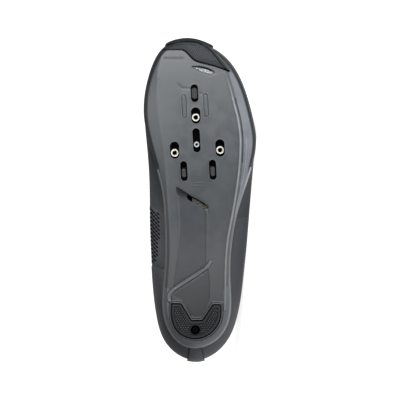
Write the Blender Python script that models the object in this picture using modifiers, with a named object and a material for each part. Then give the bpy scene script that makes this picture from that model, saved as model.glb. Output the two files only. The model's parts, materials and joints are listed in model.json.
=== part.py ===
import math

import bmesh
import bpy
import numpy as np
from mathutils import Matrix, Vector

# Cycling shoe for the left foot, lying on its outer side as it rests when it is put down with the sole in view.
# Every piece is modelled upright in the shoe's own frame: +X to the inner (medial) side, +Y to the toe, +Z up.
# The empty "shoe" then lays the whole shoe down. Sizes are in metres.

# Main sizes
SHOE_LENGTH = 0.285
BALL_WIDTH = 0.0995
COLLAR_HEIGHT = 0.097
GAP = 0.0003

# Sole
HEEL_LIFT = 0.0045
ARCH_RISE = 0.0110
TOE_SPRING = 0.0155
PLATE_THICKNESS = 0.0058
CUP_DEPTH = 0.0050
RIM_WIDTH = 0.0020
RIM_TUCK = 0.0015
RIM_DRAFT = 0.0016
BEVEL_RISE = 0.0032

# Upper
UPPER_WALL = 0.0018
LASTING_MARGIN = 0.0070
LOWER_FULLNESS = 1.5
COUNTER_THICKNESS = 0.0009
STRIP_THICKNESS = 0.0008
GUARD_THICKNESS = 0.0018
STRAP_THICKNESS = 0.0016
TONGUE_THICKNESS = 0.0032
TONGUE_CLEARANCE = 0.0005
THROAT_CROWN = 0.20
TONGUE_ROUNDNESS = 2.2
TONGUE_WRAP = 0.12

# Insole
INSOLE_THICKNESS = 0.0030
INSOLE_CLEARANCE = 0.0005

# Cleat fittings, slots and pockets
CLEAT_TURN = math.radians(3.0)
NUT_DIAMETER = 0.0072
NUT_BORE = 0.0038
NUT_FLANGE_DIAMETER = 0.0110
NUT_FLANGE_THICKNESS = 0.0012
NUT_RECESS = 0.0006
NUT_CHAMFER = 0.0004
FLANGE_SINK = 0.0007
SLOT_CLEARANCE = 0.0004
CENTRE_NUT_DIAMETER = 0.0050
CENTRE_NUT_BORE = 0.0023
CENTRE_FLANGE_DIAMETER = 0.0085
GROOVE_DEPTH = 0.0007
PANEL_DEPTH = 0.0006
BLIND_DEPTH = 0.0040

# Pads
HEEL_PAD_PROUD = 0.0042
HEEL_PAD_SEAT = 0.0012
TOE_PAD_PROUD = 0.0016
TOE_PAD_SEAT = 0.0012
SCREW_HEAD_DIAMETER = 0.0072
SCREW_SHANK_DIAMETER = 0.0040
SCREW_HEAD_THICKNESS = 0.0022
SCREW_HEAD_CHAMFER = 0.0005
SCREW_SOCKET_DIAMETER = 0.0025
SCREW_SOCKET_DEPTH = 0.0013
SCREW_SINK = 0.0014
SCREW_GRIP = 0.0028

# Vents
MESH_THICKNESS = 0.0010
MESH_SINK = 0.0016

# Anatomical rows from the heel back to the toe tip. "along" is a share of SHOE_LENGTH, "out" of BALL_WIDTH,
# "up" of COLLAR_HEIGHT. lat is the outer side of the foot, med the inner side.
# The last's widest outline and its height.
LAST_COLUMNS = ("along_lat", "out_lat", "along_med", "out_med", "up")
LAST_ROWS = {
    "heel back": (0.0082, 0.000, 0.0082, 0.000, 0.310),
    "heel corner": (0.053, 0.229, 0.053, 0.233, 0.310),
    "heel side": (0.147, 0.352, 0.147, 0.349, 0.320),
    "ankle": (0.298, 0.409, 0.298, 0.391, 0.335),
    "waist": (0.449, 0.455, 0.456, 0.405, 0.320),
    "instep": (0.551, 0.486, 0.561, 0.410, 0.275),
    "ball rear": (0.656, 0.512, 0.667, 0.433, 0.225),
    "ball": (0.754, 0.488, 0.765, 0.454, 0.215),
    "toe side": (0.870, 0.377, 0.877, 0.417, 0.262),
    "toe corner": (0.957, 0.176, 0.962, 0.292, 0.315),
    "toe tip": (0.9918, -0.068, 0.9918, 0.068, 0.330),
}
# The edge of the collar and throat, and how full and how ramped the wall is on its way up to it.
TOPLINE_COLUMNS = ("along_lat", "out_lat", "along_med", "out_med", "up", "full_lat", "full_med", "ramp")
TOPLINE_ROWS = {
    "heel back": (0.034, 0.000, 0.034, 0.000, 1.000, 1.80, 1.80, 0.30),
    "heel corner": (0.058, 0.150, 0.058, 0.150, 0.990, 1.80, 1.80, 0.30),
    "heel side": (0.142, 0.264, 0.142, 0.260, 0.880, 1.80, 1.80, 0.30),
    "ankle": (0.280, 0.302, 0.280, 0.290, 0.690, 1.80, 1.80, 0.28),
    "waist": (0.396, 0.196, 0.396, 0.190, 0.905, 1.75, 1.95, 0.25),
    "instep": (0.492, 0.180, 0.492, 0.176, 0.848, 1.80, 2.00, 0.26),
    "ball rear": (0.587, 0.160, 0.587, 0.160, 0.765, 1.90, 2.05, 0.30),
    "ball": (0.664, 0.134, 0.664, 0.142, 0.698, 2.00, 2.10, 0.34),
    "toe side": (0.711, 0.090, 0.711, 0.102, 0.655, 2.10, 2.15, 0.38),
    "toe corner": (0.729, 0.044, 0.729, 0.056, 0.638, 2.20, 2.20, 0.42),
    "toe tip": (0.733, -0.006, 0.733, 0.006, 0.634, 2.25, 2.25, 0.44),
}
# The top edge of the sole's rim, with the outline's columns "along_lat", "out_lat", "along_med" and "out_med".
SOLE_ROWS = {
    "heel back": (0.0420, -0.005, 0.0420, 0.005),
    "heel corner": (0.0720, 0.196, 0.0700, 0.188),
    "heel side": (0.1440, 0.303, 0.1440, 0.289),
    "ankle": (0.2810, 0.305, 0.2810, 0.279),
    "waist": (0.4400, 0.355, 0.4210, 0.277),
    "instep": (0.5300, 0.430, 0.5300, 0.303),
    "ball rear": (0.6530, 0.524, 0.6420, 0.388),
    "ball": (0.7400, 0.503, 0.7510, 0.458),
    "toe side": (0.8700, 0.386, 0.8770, 0.422),
    "toe corner": (0.9600, 0.180, 0.9700, 0.285),
    "toe tip": (0.9890, -0.068, 0.9890, 0.068),
}
# The line where the sole's flat bottom turns into its bevel, with the same columns.
RIDGE_ROWS = {
    "heel back": (0.0620, -0.005, 0.0620, 0.005),
    "heel corner": (0.0850, 0.160, 0.0850, 0.156),
    "heel side": (0.1440, 0.246, 0.1440, 0.246),
    "ankle": (0.2810, 0.258, 0.2810, 0.241),
    "waist": (0.4100, 0.292, 0.4140, 0.236),
    "instep": (0.5050, 0.345, 0.5190, 0.256),
    "ball rear": (0.6280, 0.386, 0.6400, 0.284),
    "ball": (0.7250, 0.394, 0.7500, 0.330),
    "toe side": (0.8530, 0.298, 0.8770, 0.343),
    "toe corner": (0.9450, 0.150, 0.9560, 0.268),
    "toe tip": (0.9780, -0.060, 0.9780, 0.060),
}
# The bottom of the sole from the side: "heel" is a share of HEEL_LIFT, "arch" of ARCH_RISE, "toe" of TOE_SPRING.
PROFILE_COLUMNS = ("along", "heel", "arch", "toe")
PROFILE_ROWS = (
    (0.000, 1.80, 0.00, 0.00),
    (0.043, 1.45, 0.00, 0.00),
    (0.088, 1.05, 0.00, 0.00),
    (0.175, 1.00, 0.02, 0.00),
    (0.281, 0.60, 0.50, 0.00),
    (0.386, 0.20, 0.97, 0.00),
    (0.491, 0.00, 0.85, 0.00),
    (0.600, 0.00, 0.30, 0.00),
    (0.700, 0.00, 0.02, 0.00),
    (0.790, 0.00, 0.00, 0.07),
    (0.877, 0.00, 0.00, 0.34),
    (0.947, 0.00, 0.00, 0.70),
    (1.000, 0.00, 0.00, 1.04),
)
# Slots in the sole: centre, length and width (shares of BALL_WIDTH except "along"), and whether it goes through.
SLOT_COLUMNS = ("out", "along", "length", "width", "through")
SLOT_ROWS = {
    "front_nut": (0.0022, 0.7590, 0.143, None, True),
    "centre": (-0.0040, 0.6829, 0.212, 0.064, True),
    "medial_nut": (0.1877, 0.6525, 0.149, None, True),
    "lateral_nut": (-0.2110, 0.6594, 0.151, None, True),
    "front_blind": (0.0133, 0.8275, 0.155, 0.063, False),
    "rear_medial": (0.1063, 0.5882, 0.175, 0.059, False),
    "rear_lateral": (-0.1470, 0.5923, 0.176, 0.062, False),
}
# Scale grooves beside the front nut.
GROOVE_ROWS = {
    "groove_medial": (0.1036, 0.7870, 0.212, 0.046),
    "groove_lateral": (-0.0877, 0.7901, 0.212, 0.046),
}
# Nuts: place in the sole.
NUT_ROWS = {
    "cleat_nut_front": (0.0025, 0.7530),
    "cleat_nut_medial": (0.1877, 0.6445),
    "cleat_nut_lateral": (-0.2110, 0.6532),
}
CENTRE_NUT_PLACE = (-0.0052, 0.6702)
# Outlines on the sole's bottom, as (out, along).
HEEL_PAD_OUTLINE = (
    (0.217, 0.1790), (0.134, 0.1790), (0.047, 0.1286), (-0.047, 0.1286), (-0.142, 0.1775), (-0.222, 0.1775),
    (-0.218, 0.1397), (-0.174, 0.1066), (-0.104, 0.0844), (0.000, 0.0733), (0.096, 0.0816), (0.173, 0.1066),
    (0.212, 0.1397),
)
HEEL_SCREW_PLACE = (0.0053, 0.1011)
TOE_PAD_OUTLINE = (
    (0.254, 0.9700), (0.154, 0.9800), (0.068, 0.9825), (0.001, 0.9800), (-0.086, 0.9660), (-0.133, 0.9520),
    (-0.198, 0.9277), (-0.243, 0.9085), (-0.280, 0.8968), (-0.158, 0.9135), (-0.018, 0.9261), (0.014, 0.9308),
    (0.046, 0.9419), (0.091, 0.9577), (0.118, 0.9615), (0.262, 0.9600),
)
TOE_VENT_OUTLINE = (
    (0.043, 0.9107), (-0.044, 0.9104), (-0.112, 0.9039), (-0.168, 0.8915), (-0.133, 0.8850), (-0.044, 0.8946),
)
MID_VENT_OUTLINE = (
    (0.168, 0.5413), (0.031, 0.5144), (-0.089, 0.4872), (-0.112, 0.4757), (-0.080, 0.4674), (0.000, 0.4896),
    (0.094, 0.5104), (0.174, 0.5336),
)
# Recessed panels, as rungs from the medial edge to the lateral edge.
PANEL_COLUMNS = ("out_med", "along_med", "out_lat", "along_lat")
ARCH_PANEL_ROWS = (
    (0.142, 0.4950, -0.0885, 0.4480),
    (0.142, 0.4068, -0.0885, 0.3990),
    (0.162, 0.3400, -0.0885, 0.3600),
    (0.182, 0.2900, -0.0885, 0.3300),
    (0.208, 0.2275, -0.0885, 0.3017),
)
HEEL_PANEL_ROWS = (
    (0.2125, 0.2059, -0.1107, 0.2831),
    (0.1750, 0.2000, -0.1222, 0.2500),
    (0.1275, 0.1930, -0.1222, 0.2200),
    (0.0850, 0.1640, -0.1222, 0.1940),
    (0.0460, 0.1390, -0.0460, 0.1390),
)
# Tongue above the throat: height and place of its crown, half its width and how far its edges drop.
TONGUE_COLUMNS = ("along", "up", "half", "drop")
TONGUE_ROWS = (
    (0.374, 0.980, 0.176, 0.105),
    (0.354, 1.060, 0.205, 0.100),
    (0.332, 1.140, 0.225, 0.095),
    (0.312, 1.200, 0.220, 0.085),
    (0.304, 1.225, 0.185, 0.070),
)
# Straps: first and last row, and how far down the wall each end goes (in wall steps).
STRAP_ROWS = {
    "strap_front": (6.25, 7.00, 3, 5),
    "strap_middle": (5.25, 6.00, 3, 5),
    "strap_top": (4.25, 5.00, 3, 5),
}

# Steps between two anatomical rows, and the wall's steps: margin, corner, rim, widest line, topline.
STEPS_PER_ROW = 4
LOWER_STEPS = 3
UPPER_STEPS = 7
FILL_COLUMNS = 5
INSOLE_COLUMNS = 2
TURN_STEPS = 16
BRIDGE_STEPS = 6
STRAP_BRIDGE_STEPS = 4
SHARP_ANGLE = math.radians(40.0)
MERGE_DISTANCE = 0.00005
MITRE_LIMIT = 0.35
TINY = 1e-9

ROW_COUNT = len(LAST_ROWS)
LAST_ROW = ROW_COUNT - 1
MARGIN, CORNER, RIM, WIDEST, TOPLINE = range(5)


# Tables
def named(columns, rows):
    # Each row as a dictionary of its columns.
    return [dict(zip(columns, row)) for row in rows]


OUTLINE_COLUMNS = ("along_lat", "out_lat", "along_med", "out_med")
LAST_TABLE = named(LAST_COLUMNS, LAST_ROWS.values())
TOPLINE_TABLE = named(TOPLINE_COLUMNS, TOPLINE_ROWS.values())
SOLE_TABLE = named(OUTLINE_COLUMNS, SOLE_ROWS.values())
RIDGE_TABLE = named(OUTLINE_COLUMNS, RIDGE_ROWS.values())
PROFILE_TABLE = named(PROFILE_COLUMNS, PROFILE_ROWS)


# Curves
def spline_slopes(knots, values, closed):
    # Second derivatives of a cubic through the values, closed on itself or with free ends.
    count = len(values)
    system = np.zeros((count, count))
    right = np.zeros((count, values.shape[1]))
    for i in range(count):
        if not closed and i in (0, count - 1):
            system[i, i] = 1.0
            continue
        before = knots[i] - knots[i - 1] if i else knots[count] - knots[count - 1]
        after = knots[i + 1] - knots[i]
        system[i, i - 1] += before
        system[i, i] += 2.0 * (before + after)
        system[i, (i + 1) % count] += after
        rise = (values[(i + 1) % count] - values[i]) / after - (values[i] - values[i - 1]) / before
        right[i] = 6.0 * rise
    return np.linalg.solve(system, right)


def spline(knots, values, at, closed):
    slopes = spline_slopes(knots, values, closed)
    count = len(values)
    at = np.asarray(at, float)
    if closed:
        at = knots[0] + np.mod(at - knots[0], knots[count] - knots[0])
    place = np.clip(np.searchsorted(knots, at, side="right") - 1, 0, len(knots) - 2)
    width = (knots[place + 1] - knots[place])[:, None]
    left = (knots[place + 1] - at)[:, None]
    right = (at - knots[place])[:, None]
    first, second = values[place], values[(place + 1) % count]
    m_first, m_second = slopes[place], slopes[(place + 1) % count]
    return (
        (m_first * left**3 + m_second * right**3) / (6.0 * width)
        + (first / width - m_first * width / 6.0) * left
        + (second / width - m_second * width / 6.0) * right
    )


def round_loop(table, lateral, medial):
    # One value per anatomical row and side, heel back to toe tip on the outer side and back on the inner side.
    out = [lateral(row) for row in table]
    back = [medial(row) for row in table[-2:0:-1]]
    return np.array(out + back, float)


def outline_loop(table):
    def lateral(row):
        return (-row["out_lat"] * BALL_WIDTH, row["along_lat"] * SHOE_LENGTH)

    def medial(row):
        return (row["out_med"] * BALL_WIDTH, row["along_med"] * SHOE_LENGTH)

    return round_loop(table, lateral, medial)


def chord_knots(points):
    steps = np.linalg.norm(np.roll(points, -1, axis=0) - points, axis=1)
    return np.concatenate([[0.0], np.cumsum(steps)])


LOOP_KNOTS = chord_knots(outline_loop(LAST_TABLE))


def loop_at(rows_at):
    # The loop's parameter at a row number: 0 to LAST_ROW on the outer side, on to 2 x LAST_ROW on the inner side.
    return np.interp(rows_at, np.arange(2 * LAST_ROW + 1), LOOP_KNOTS)


def on_loop(control, at):
    return spline(LOOP_KNOTS, control, at, closed=True)


def inset(points, distance):
    # Moves a closed ring of plan points inwards, square to the ring.
    ahead = np.roll(points, -1, axis=0) - np.roll(points, 1, axis=0)
    ahead /= np.linalg.norm(ahead, axis=1)[:, None]
    inwards = np.stack([ahead[:, 1], -ahead[:, 0]], axis=1)
    return points + inwards * distance


def bottom_height(y):
    def height(row):
        return row["heel"] * HEEL_LIFT + row["arch"] * ARCH_RISE + row["toe"] * TOE_SPRING

    heights = np.array([[height(row)] for row in PROFILE_TABLE])
    places = np.array([row["along"] * SHOE_LENGTH for row in PROFILE_TABLE])
    at = np.atleast_1d(np.asarray(y, float)).ravel()
    found = spline(places, heights, at, closed=False)[:, 0]
    return found.reshape(np.shape(y)) if np.shape(y) else float(found[0])


def bed_height(y):
    return bottom_height(y) + PLATE_THICKNESS


def rim_height(y):
    return bed_height(y) + CUP_DEPTH


def with_height(plan, height):
    return np.concatenate([plan, height[:, None]], axis=1)


# The last: the outer surface of the upper, as a grid of columns round the shoe and rows up its wall
COLUMN_ROWS = np.arange(0.0, 2 * LAST_ROW, 1.0 / STEPS_PER_ROW)
COLUMNS = loop_at(COLUMN_ROWS)
WALL_STEPS = np.concatenate(
    [
        [MARGIN, CORNER],
        np.linspace(RIM, WIDEST, LOWER_STEPS + 1)[:-1],
        np.linspace(WIDEST, TOPLINE, UPPER_STEPS + 1),
    ]
)


def sole_edge(inwards=0.0, table=SOLE_TABLE, at=COLUMNS):
    plan = on_loop(outline_loop(table), at)
    return inset(plan, inwards)


def raised_loop(table):
    # An outline with the height that its table gives.
    def height(row):
        return (row["up"] * COLLAR_HEIGHT,)

    heights = on_loop(round_loop(table, height, height), COLUMNS)
    return np.concatenate([on_loop(outline_loop(table), COLUMNS), heights], axis=1)


def wall_loops():
    # Plan and height of the five guide loops at every column.
    edge = sole_edge(RIM_WIDTH + GAP)
    rim = with_height(edge, rim_height(edge[:, 1]))
    foot = sole_edge(RIM_WIDTH + RIM_TUCK + GAP)
    corner = with_height(foot, bed_height(foot[:, 1]) + GAP)
    turned = sole_edge(RIM_WIDTH + RIM_TUCK + LASTING_MARGIN)
    margin = with_height(turned, bed_height(turned[:, 1]) + GAP)

    return margin, corner, rim, raised_loop(LAST_TABLE), raised_loop(TOPLINE_TABLE)


def wall_form():
    # Fullness and ramp of the wall at every column.
    def lateral(row):
        return (row["full_lat"], row["ramp"])

    def medial(row):
        return (row["full_med"], row["ramp"])

    return on_loop(round_loop(TOPLINE_TABLE, lateral, medial), COLUMNS)


def last_surface():
    margin, corner, rim, wide, top = wall_loops()
    form = wall_form()
    full, ramp = form[:, :1], form[:, 1:]
    rows = []
    for step in WALL_STEPS:
        if step <= CORNER:
            rows.append(margin + (corner - margin) * (step - MARGIN))
        elif step <= RIM:
            rows.append(corner + (rim - corner) * (step - CORNER))
        elif step <= WIDEST:
            angle = (step - RIM) * math.pi / 2.0
            out = math.sin(angle) ** (2.0 / LOWER_FULLNESS)
            rise = 1.0 - max(math.cos(angle), 0.0) ** (2.0 / LOWER_FULLNESS)
            rows.append(rim + (wide - rim) * np.array([out, out, rise]))
        else:
            angle = (step - WIDEST) * math.pi / 2.0
            run = 1.0 - max(math.cos(angle), 0.0) ** (2.0 / full)
            rise = (1.0 - ramp) * math.sin(angle) ** (2.0 / full) + ramp * run
            rows.append(wide + (top - wide) * np.concatenate([run, run, rise], axis=1))
    return np.stack(rows, axis=1)


def surface_normals(grid):
    around = np.roll(grid, -1, axis=0) - np.roll(grid, 1, axis=0)
    upwards = np.gradient(grid, axis=1)
    normals = np.cross(upwards, around)
    return normals / np.linalg.norm(normals, axis=2)[:, :, None]


LAST = last_surface()
LAST_NORMALS = surface_normals(LAST)


def last_at(columns, steps, outwards):
    # Points of the last's grid, moved square to its surface.
    columns = np.asarray(columns) % len(COLUMNS)
    block = np.ix_(columns, steps)
    return LAST[block] + LAST_NORMALS[block] * outwards


def column_of(row):
    return int(round(row * STEPS_PER_ROW))


def twin(column):
    # The column at the same row on the other side of the foot.
    return (len(COLUMNS) - column) % len(COLUMNS)


TOP_STEP = len(WALL_STEPS) - 1
RIM_STEP = [MARGIN, CORNER, RIM].index(RIM)
WIDEST_STEP = RIM_STEP + LOWER_STEPS


# Scene, materials and mesh helpers
def clear_scene():
    for item in list(bpy.data.objects):
        bpy.data.objects.remove(item, do_unlink=True)


def new_collection(name):
    collection = bpy.data.collections.new(name)
    bpy.context.scene.collection.children.link(collection)
    return collection


def material(name, colour, roughness, metallic=0.0):
    made = bpy.data.materials.new(name)
    made.use_nodes = True
    shader = made.node_tree.nodes["Principled BSDF"]
    shader.inputs["Base Color"].default_value = (*colour, 1.0)
    shader.inputs["Roughness"].default_value = roughness
    shader.inputs["Metallic"].default_value = metallic
    return made


def object_from(mesh_maker, name, surface=None):
    mesh = bpy.data.meshes.new(name)
    mesh_maker.normal_update()
    mesh_maker.to_mesh(mesh)
    mesh_maker.free()
    made = bpy.data.objects.new(name, mesh)
    if surface is None:
        CUTTERS.objects.link(made)
        made.hide_render = True
        made.display_type = "WIRE"
    else:
        PARTS.objects.link(made)
        mesh.materials.append(surface)
        mesh.shade_smooth()
        mesh.set_sharp_from_angle(angle=SHARP_ANGLE)
    return made


def grid_faces(mesh_maker, points, closed):
    # A sheet of quads over a grid of points, its front to the side that the last's normals show.
    columns, rows = points.shape[:2]
    verts = [[mesh_maker.verts.new(points[i, j]) for j in range(rows)] for i in range(columns)]
    for i in range(columns if closed else columns - 1):
        first, second = verts[i], verts[(i + 1) % columns]
        for j in range(rows - 1):
            mesh_maker.faces.new((first[j], first[j + 1], second[j + 1], second[j]))
    return verts


def sheet(name, points, thickness, outwards, surface, closed=False):
    # A sheet of even thickness, on the outer or the inner side of the points.
    mesh_maker = bmesh.new()
    grid_faces(mesh_maker, points, closed)
    made = object_from(mesh_maker, name, surface)
    wall = made.modifiers.new("wall", "SOLIDIFY")
    wall.thickness = thickness
    wall.offset = 1.0 if outwards else -1.0
    wall.use_even_offset = True
    wall.use_quality_normals = True
    return made


def stack_of_rings(name, rings, surface, filled_columns):
    # A closed solid: rings from the middle of the bottom, out and round to the middle of the top.
    mesh_maker = bmesh.new()
    verts = [[mesh_maker.verts.new(point) for point in ring] for ring in rings]
    count = len(rings[0])
    for lower, upper in zip(verts, verts[1:]):
        for i in range(count):
            j = (i + 1) % count
            mesh_maker.faces.new((lower[i], upper[i], upper[j], lower[j]))
    fill_ring(mesh_maker, verts[0], rings[0], filled_columns, upwards=False)
    fill_ring(mesh_maker, verts[-1], rings[-1], filled_columns, upwards=True)
    bmesh.ops.recalc_face_normals(mesh_maker, faces=mesh_maker.faces)
    return object_from(mesh_maker, name, surface)


def fill_ring(mesh_maker, verts, ring, columns, upwards):
    # Rungs from the outer side to the inner side, each at one row of the foot. The two ends are fans.
    count = len(verts)
    half = count // 2
    rungs = [[verts[0]]]
    for i in range(1, half):
        first, last = Vector(ring[i]), Vector(ring[count - i])
        inner = []
        for k in range(1, columns):
            point = first.lerp(last, k / columns)
            offset = first.z - bottom_height(first.y)
            point.z = bottom_height(point.y) + offset
            inner.append(mesh_maker.verts.new(point))
        rungs.append([verts[i], *inner, verts[count - i]])
    rungs.append([verts[half]])
    for lower, upper in zip(rungs, rungs[1:]):
        for k in range(max(len(lower), len(upper)) - 1):
            if len(lower) == 1:
                face = (lower[0], upper[k], upper[k + 1])
            elif len(upper) == 1:
                face = (lower[k], upper[0], lower[k + 1])
            else:
                face = (lower[k], upper[k], upper[k + 1], lower[k + 1])
            mesh_maker.faces.new(face if upwards else tuple(reversed(face)))


def swept(name, profiles, surface):
    # A solid through closed profiles, capped at both ends.
    mesh_maker = bmesh.new()
    verts = [[mesh_maker.verts.new(point) for point in profile] for profile in profiles]
    count = len(profiles[0])
    for first, second in zip(verts, verts[1:]):
        for i in range(count):
            j = (i + 1) % count
            mesh_maker.faces.new((first[i], first[j], second[j], second[i]))
    mesh_maker.faces.new(verts[0])
    mesh_maker.faces.new(verts[-1])
    bmesh.ops.recalc_face_normals(mesh_maker, faces=mesh_maker.faces)
    return object_from(mesh_maker, name, surface)


def cut(piece, cutter):
    modifier = piece.modifiers.new(cutter.name, "BOOLEAN")
    modifier.operation = "DIFFERENCE"
    modifier.solver = "EXACT"
    modifier.object = cutter


def plan_point(place):
    return Vector((place[0] * BALL_WIDTH, place[1] * SHOE_LENGTH, 0.0))


def plan_outline(shares):
    return np.array([plan_point(share)[:2] for share in shares])


def grown(outline, distance):
    # An outline moved outwards by an even distance, corners kept.
    shape = np.asarray(outline, float)
    area = np.sum(shape[:, 0] * np.roll(shape[:, 1], -1) - np.roll(shape[:, 0], -1) * shape[:, 1])
    turn = 1.0 if area > 0 else -1.0
    before = shape - np.roll(shape, 1, axis=0)
    after = np.roll(shape, -1, axis=0) - shape
    before /= np.linalg.norm(before, axis=1)[:, None]
    after /= np.linalg.norm(after, axis=1)[:, None]
    first = np.stack([before[:, 1], -before[:, 0]], axis=1) * turn
    second = np.stack([after[:, 1], -after[:, 0]], axis=1) * turn
    middle = first + second
    shortest = MITRE_LIMIT * np.linalg.norm(middle, axis=1)
    middle /= np.maximum(np.sum(first * middle, axis=1), shortest)[:, None]
    return shape + middle * distance


def plate(name, outline, low, high, surface=None, slope=0.0, pivot=0.0):
    # A flat outline with straight sides between two heights, or two planes that climb towards the toe.
    mesh_maker = bmesh.new()
    points = [Vector((x, y, low + slope * (y - pivot))) for x, y in outline]
    bottom = mesh_maker.faces.new([mesh_maker.verts.new(point) for point in points])
    raised = bmesh.ops.extrude_face_region(mesh_maker, geom=[bottom])
    moved = [item for item in raised["geom"] if isinstance(item, bmesh.types.BMVert)]
    bmesh.ops.translate(mesh_maker, verts=moved, vec=(0.0, 0.0, high - low))
    bmesh.ops.recalc_face_normals(mesh_maker, faces=mesh_maker.faces)
    return object_from(mesh_maker, name, surface)


def stadium(centre, length, width, turn=CLEAT_TURN, arc_steps=6):
    # A slot's outline: two half circles joined by straight sides, leaning towards the inner side by the turn.
    radius = width / 2.0
    reach = length / 2.0 - radius
    points = []
    for end in (0, 1):
        for k in range(arc_steps + 1):
            angle = math.pi * (end + k / arc_steps)
            x = radius * math.cos(angle)
            y = radius * math.sin(angle) + (reach if end == 0 else -reach)
            along = Vector((x * math.cos(turn) + y * math.sin(turn), -x * math.sin(turn) + y * math.cos(turn)))
            points.append((centre.x + along.x, centre.y + along.y))
    return points


def round_outline(centre, diameter, steps=18):
    angles = [math.tau * k / steps for k in range(steps)]
    radius = diameter / 2.0
    return [(centre.x + radius * math.cos(angle), centre.y + radius * math.sin(angle)) for angle in angles]


def turned(name, profile, place, surface, bored):
    # A turned piece. A bored one has a profile that closes on itself; any other starts and ends on its axis.
    mesh_maker = bmesh.new()
    verts = [mesh_maker.verts.new((radius, 0.0, height)) for radius, height in profile]
    ends = verts[1:] + verts[:1] if bored else verts[1:]
    for first, second in zip(verts, ends):
        mesh_maker.edges.new((first, second))
    made = object_from(mesh_maker, name, surface)
    spin = made.modifiers.new("turn", "SCREW")
    spin.steps = TURN_STEPS
    spin.render_steps = TURN_STEPS
    spin.use_merge_vertices = True
    spin.merge_threshold = MERGE_DISTANCE
    made.location = place
    return made


def panel_block(name, rows, depth):
    # A shallow recess whose floor follows the curve of the sole.
    lower, upper = [], []
    for row in named(PANEL_COLUMNS, rows):
        first = plan_point((row["out_med"], row["along_med"]))
        last = plan_point((row["out_lat"], row["along_lat"]))
        rung = [first.lerp(last, k / FILL_COLUMNS) for k in range(FILL_COLUMNS + 1)]
        lower.append([(p.x, p.y, bottom_height(p.y) - PLATE_THICKNESS) for p in rung])
        upper.append([(p.x, p.y, bottom_height(p.y) + depth) for p in rung])
    mesh_maker = bmesh.new()
    sheets = [[[mesh_maker.verts.new(point) for point in rung] for rung in side] for side in (lower, upper)]
    for side in sheets:
        for first, second in zip(side, side[1:]):
            for k in range(FILL_COLUMNS):
                mesh_maker.faces.new((first[k], first[k + 1], second[k + 1], second[k]))
    edges = []
    for side in sheets:
        left = [rung[0] for rung in side]
        right = [rung[-1] for rung in side]
        edges.append(side[0] + right[1:] + side[-1][-2::-1] + left[-2:0:-1])
    for k in range(len(edges[0])):
        m = (k + 1) % len(edges[0])
        mesh_maker.faces.new((edges[0][k], edges[0][m], edges[1][m], edges[1][k]))
    bmesh.ops.recalc_face_normals(mesh_maker, faces=mesh_maker.faces)
    return object_from(mesh_maker, name)


# Sole
def plateau_height(y):
    return bed_height(y) + GAP + UPPER_WALL


def build_outsole():
    ridge = sole_edge(table=RIDGE_TABLE)
    edge = sole_edge(RIM_DRAFT)
    rim_out = sole_edge()
    rim_in = sole_edge(RIM_WIDTH)
    corner = sole_edge(RIM_WIDTH + RIM_TUCK)
    step = sole_edge(RIM_WIDTH + RIM_TUCK + LASTING_MARGIN + GAP)
    rings = [
        with_height(ridge, bottom_height(ridge[:, 1])),
        with_height(edge, bottom_height(edge[:, 1]) + BEVEL_RISE),
        with_height(rim_out, rim_height(rim_out[:, 1])),
        with_height(rim_in, rim_height(rim_in[:, 1])),
        with_height(corner, bed_height(corner[:, 1])),
        with_height(step, bed_height(step[:, 1])),
        with_height(inset(step, GAP), plateau_height(step[:, 1])),
    ]
    surface = material("moulded nylon composite", (0.115, 0.125, 0.135), 0.38)
    sole = stack_of_rings("outsole", rings, surface, FILL_COLUMNS)
    for cutter in sole_cutters():
        cut(sole, cutter)
    return sole


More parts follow.
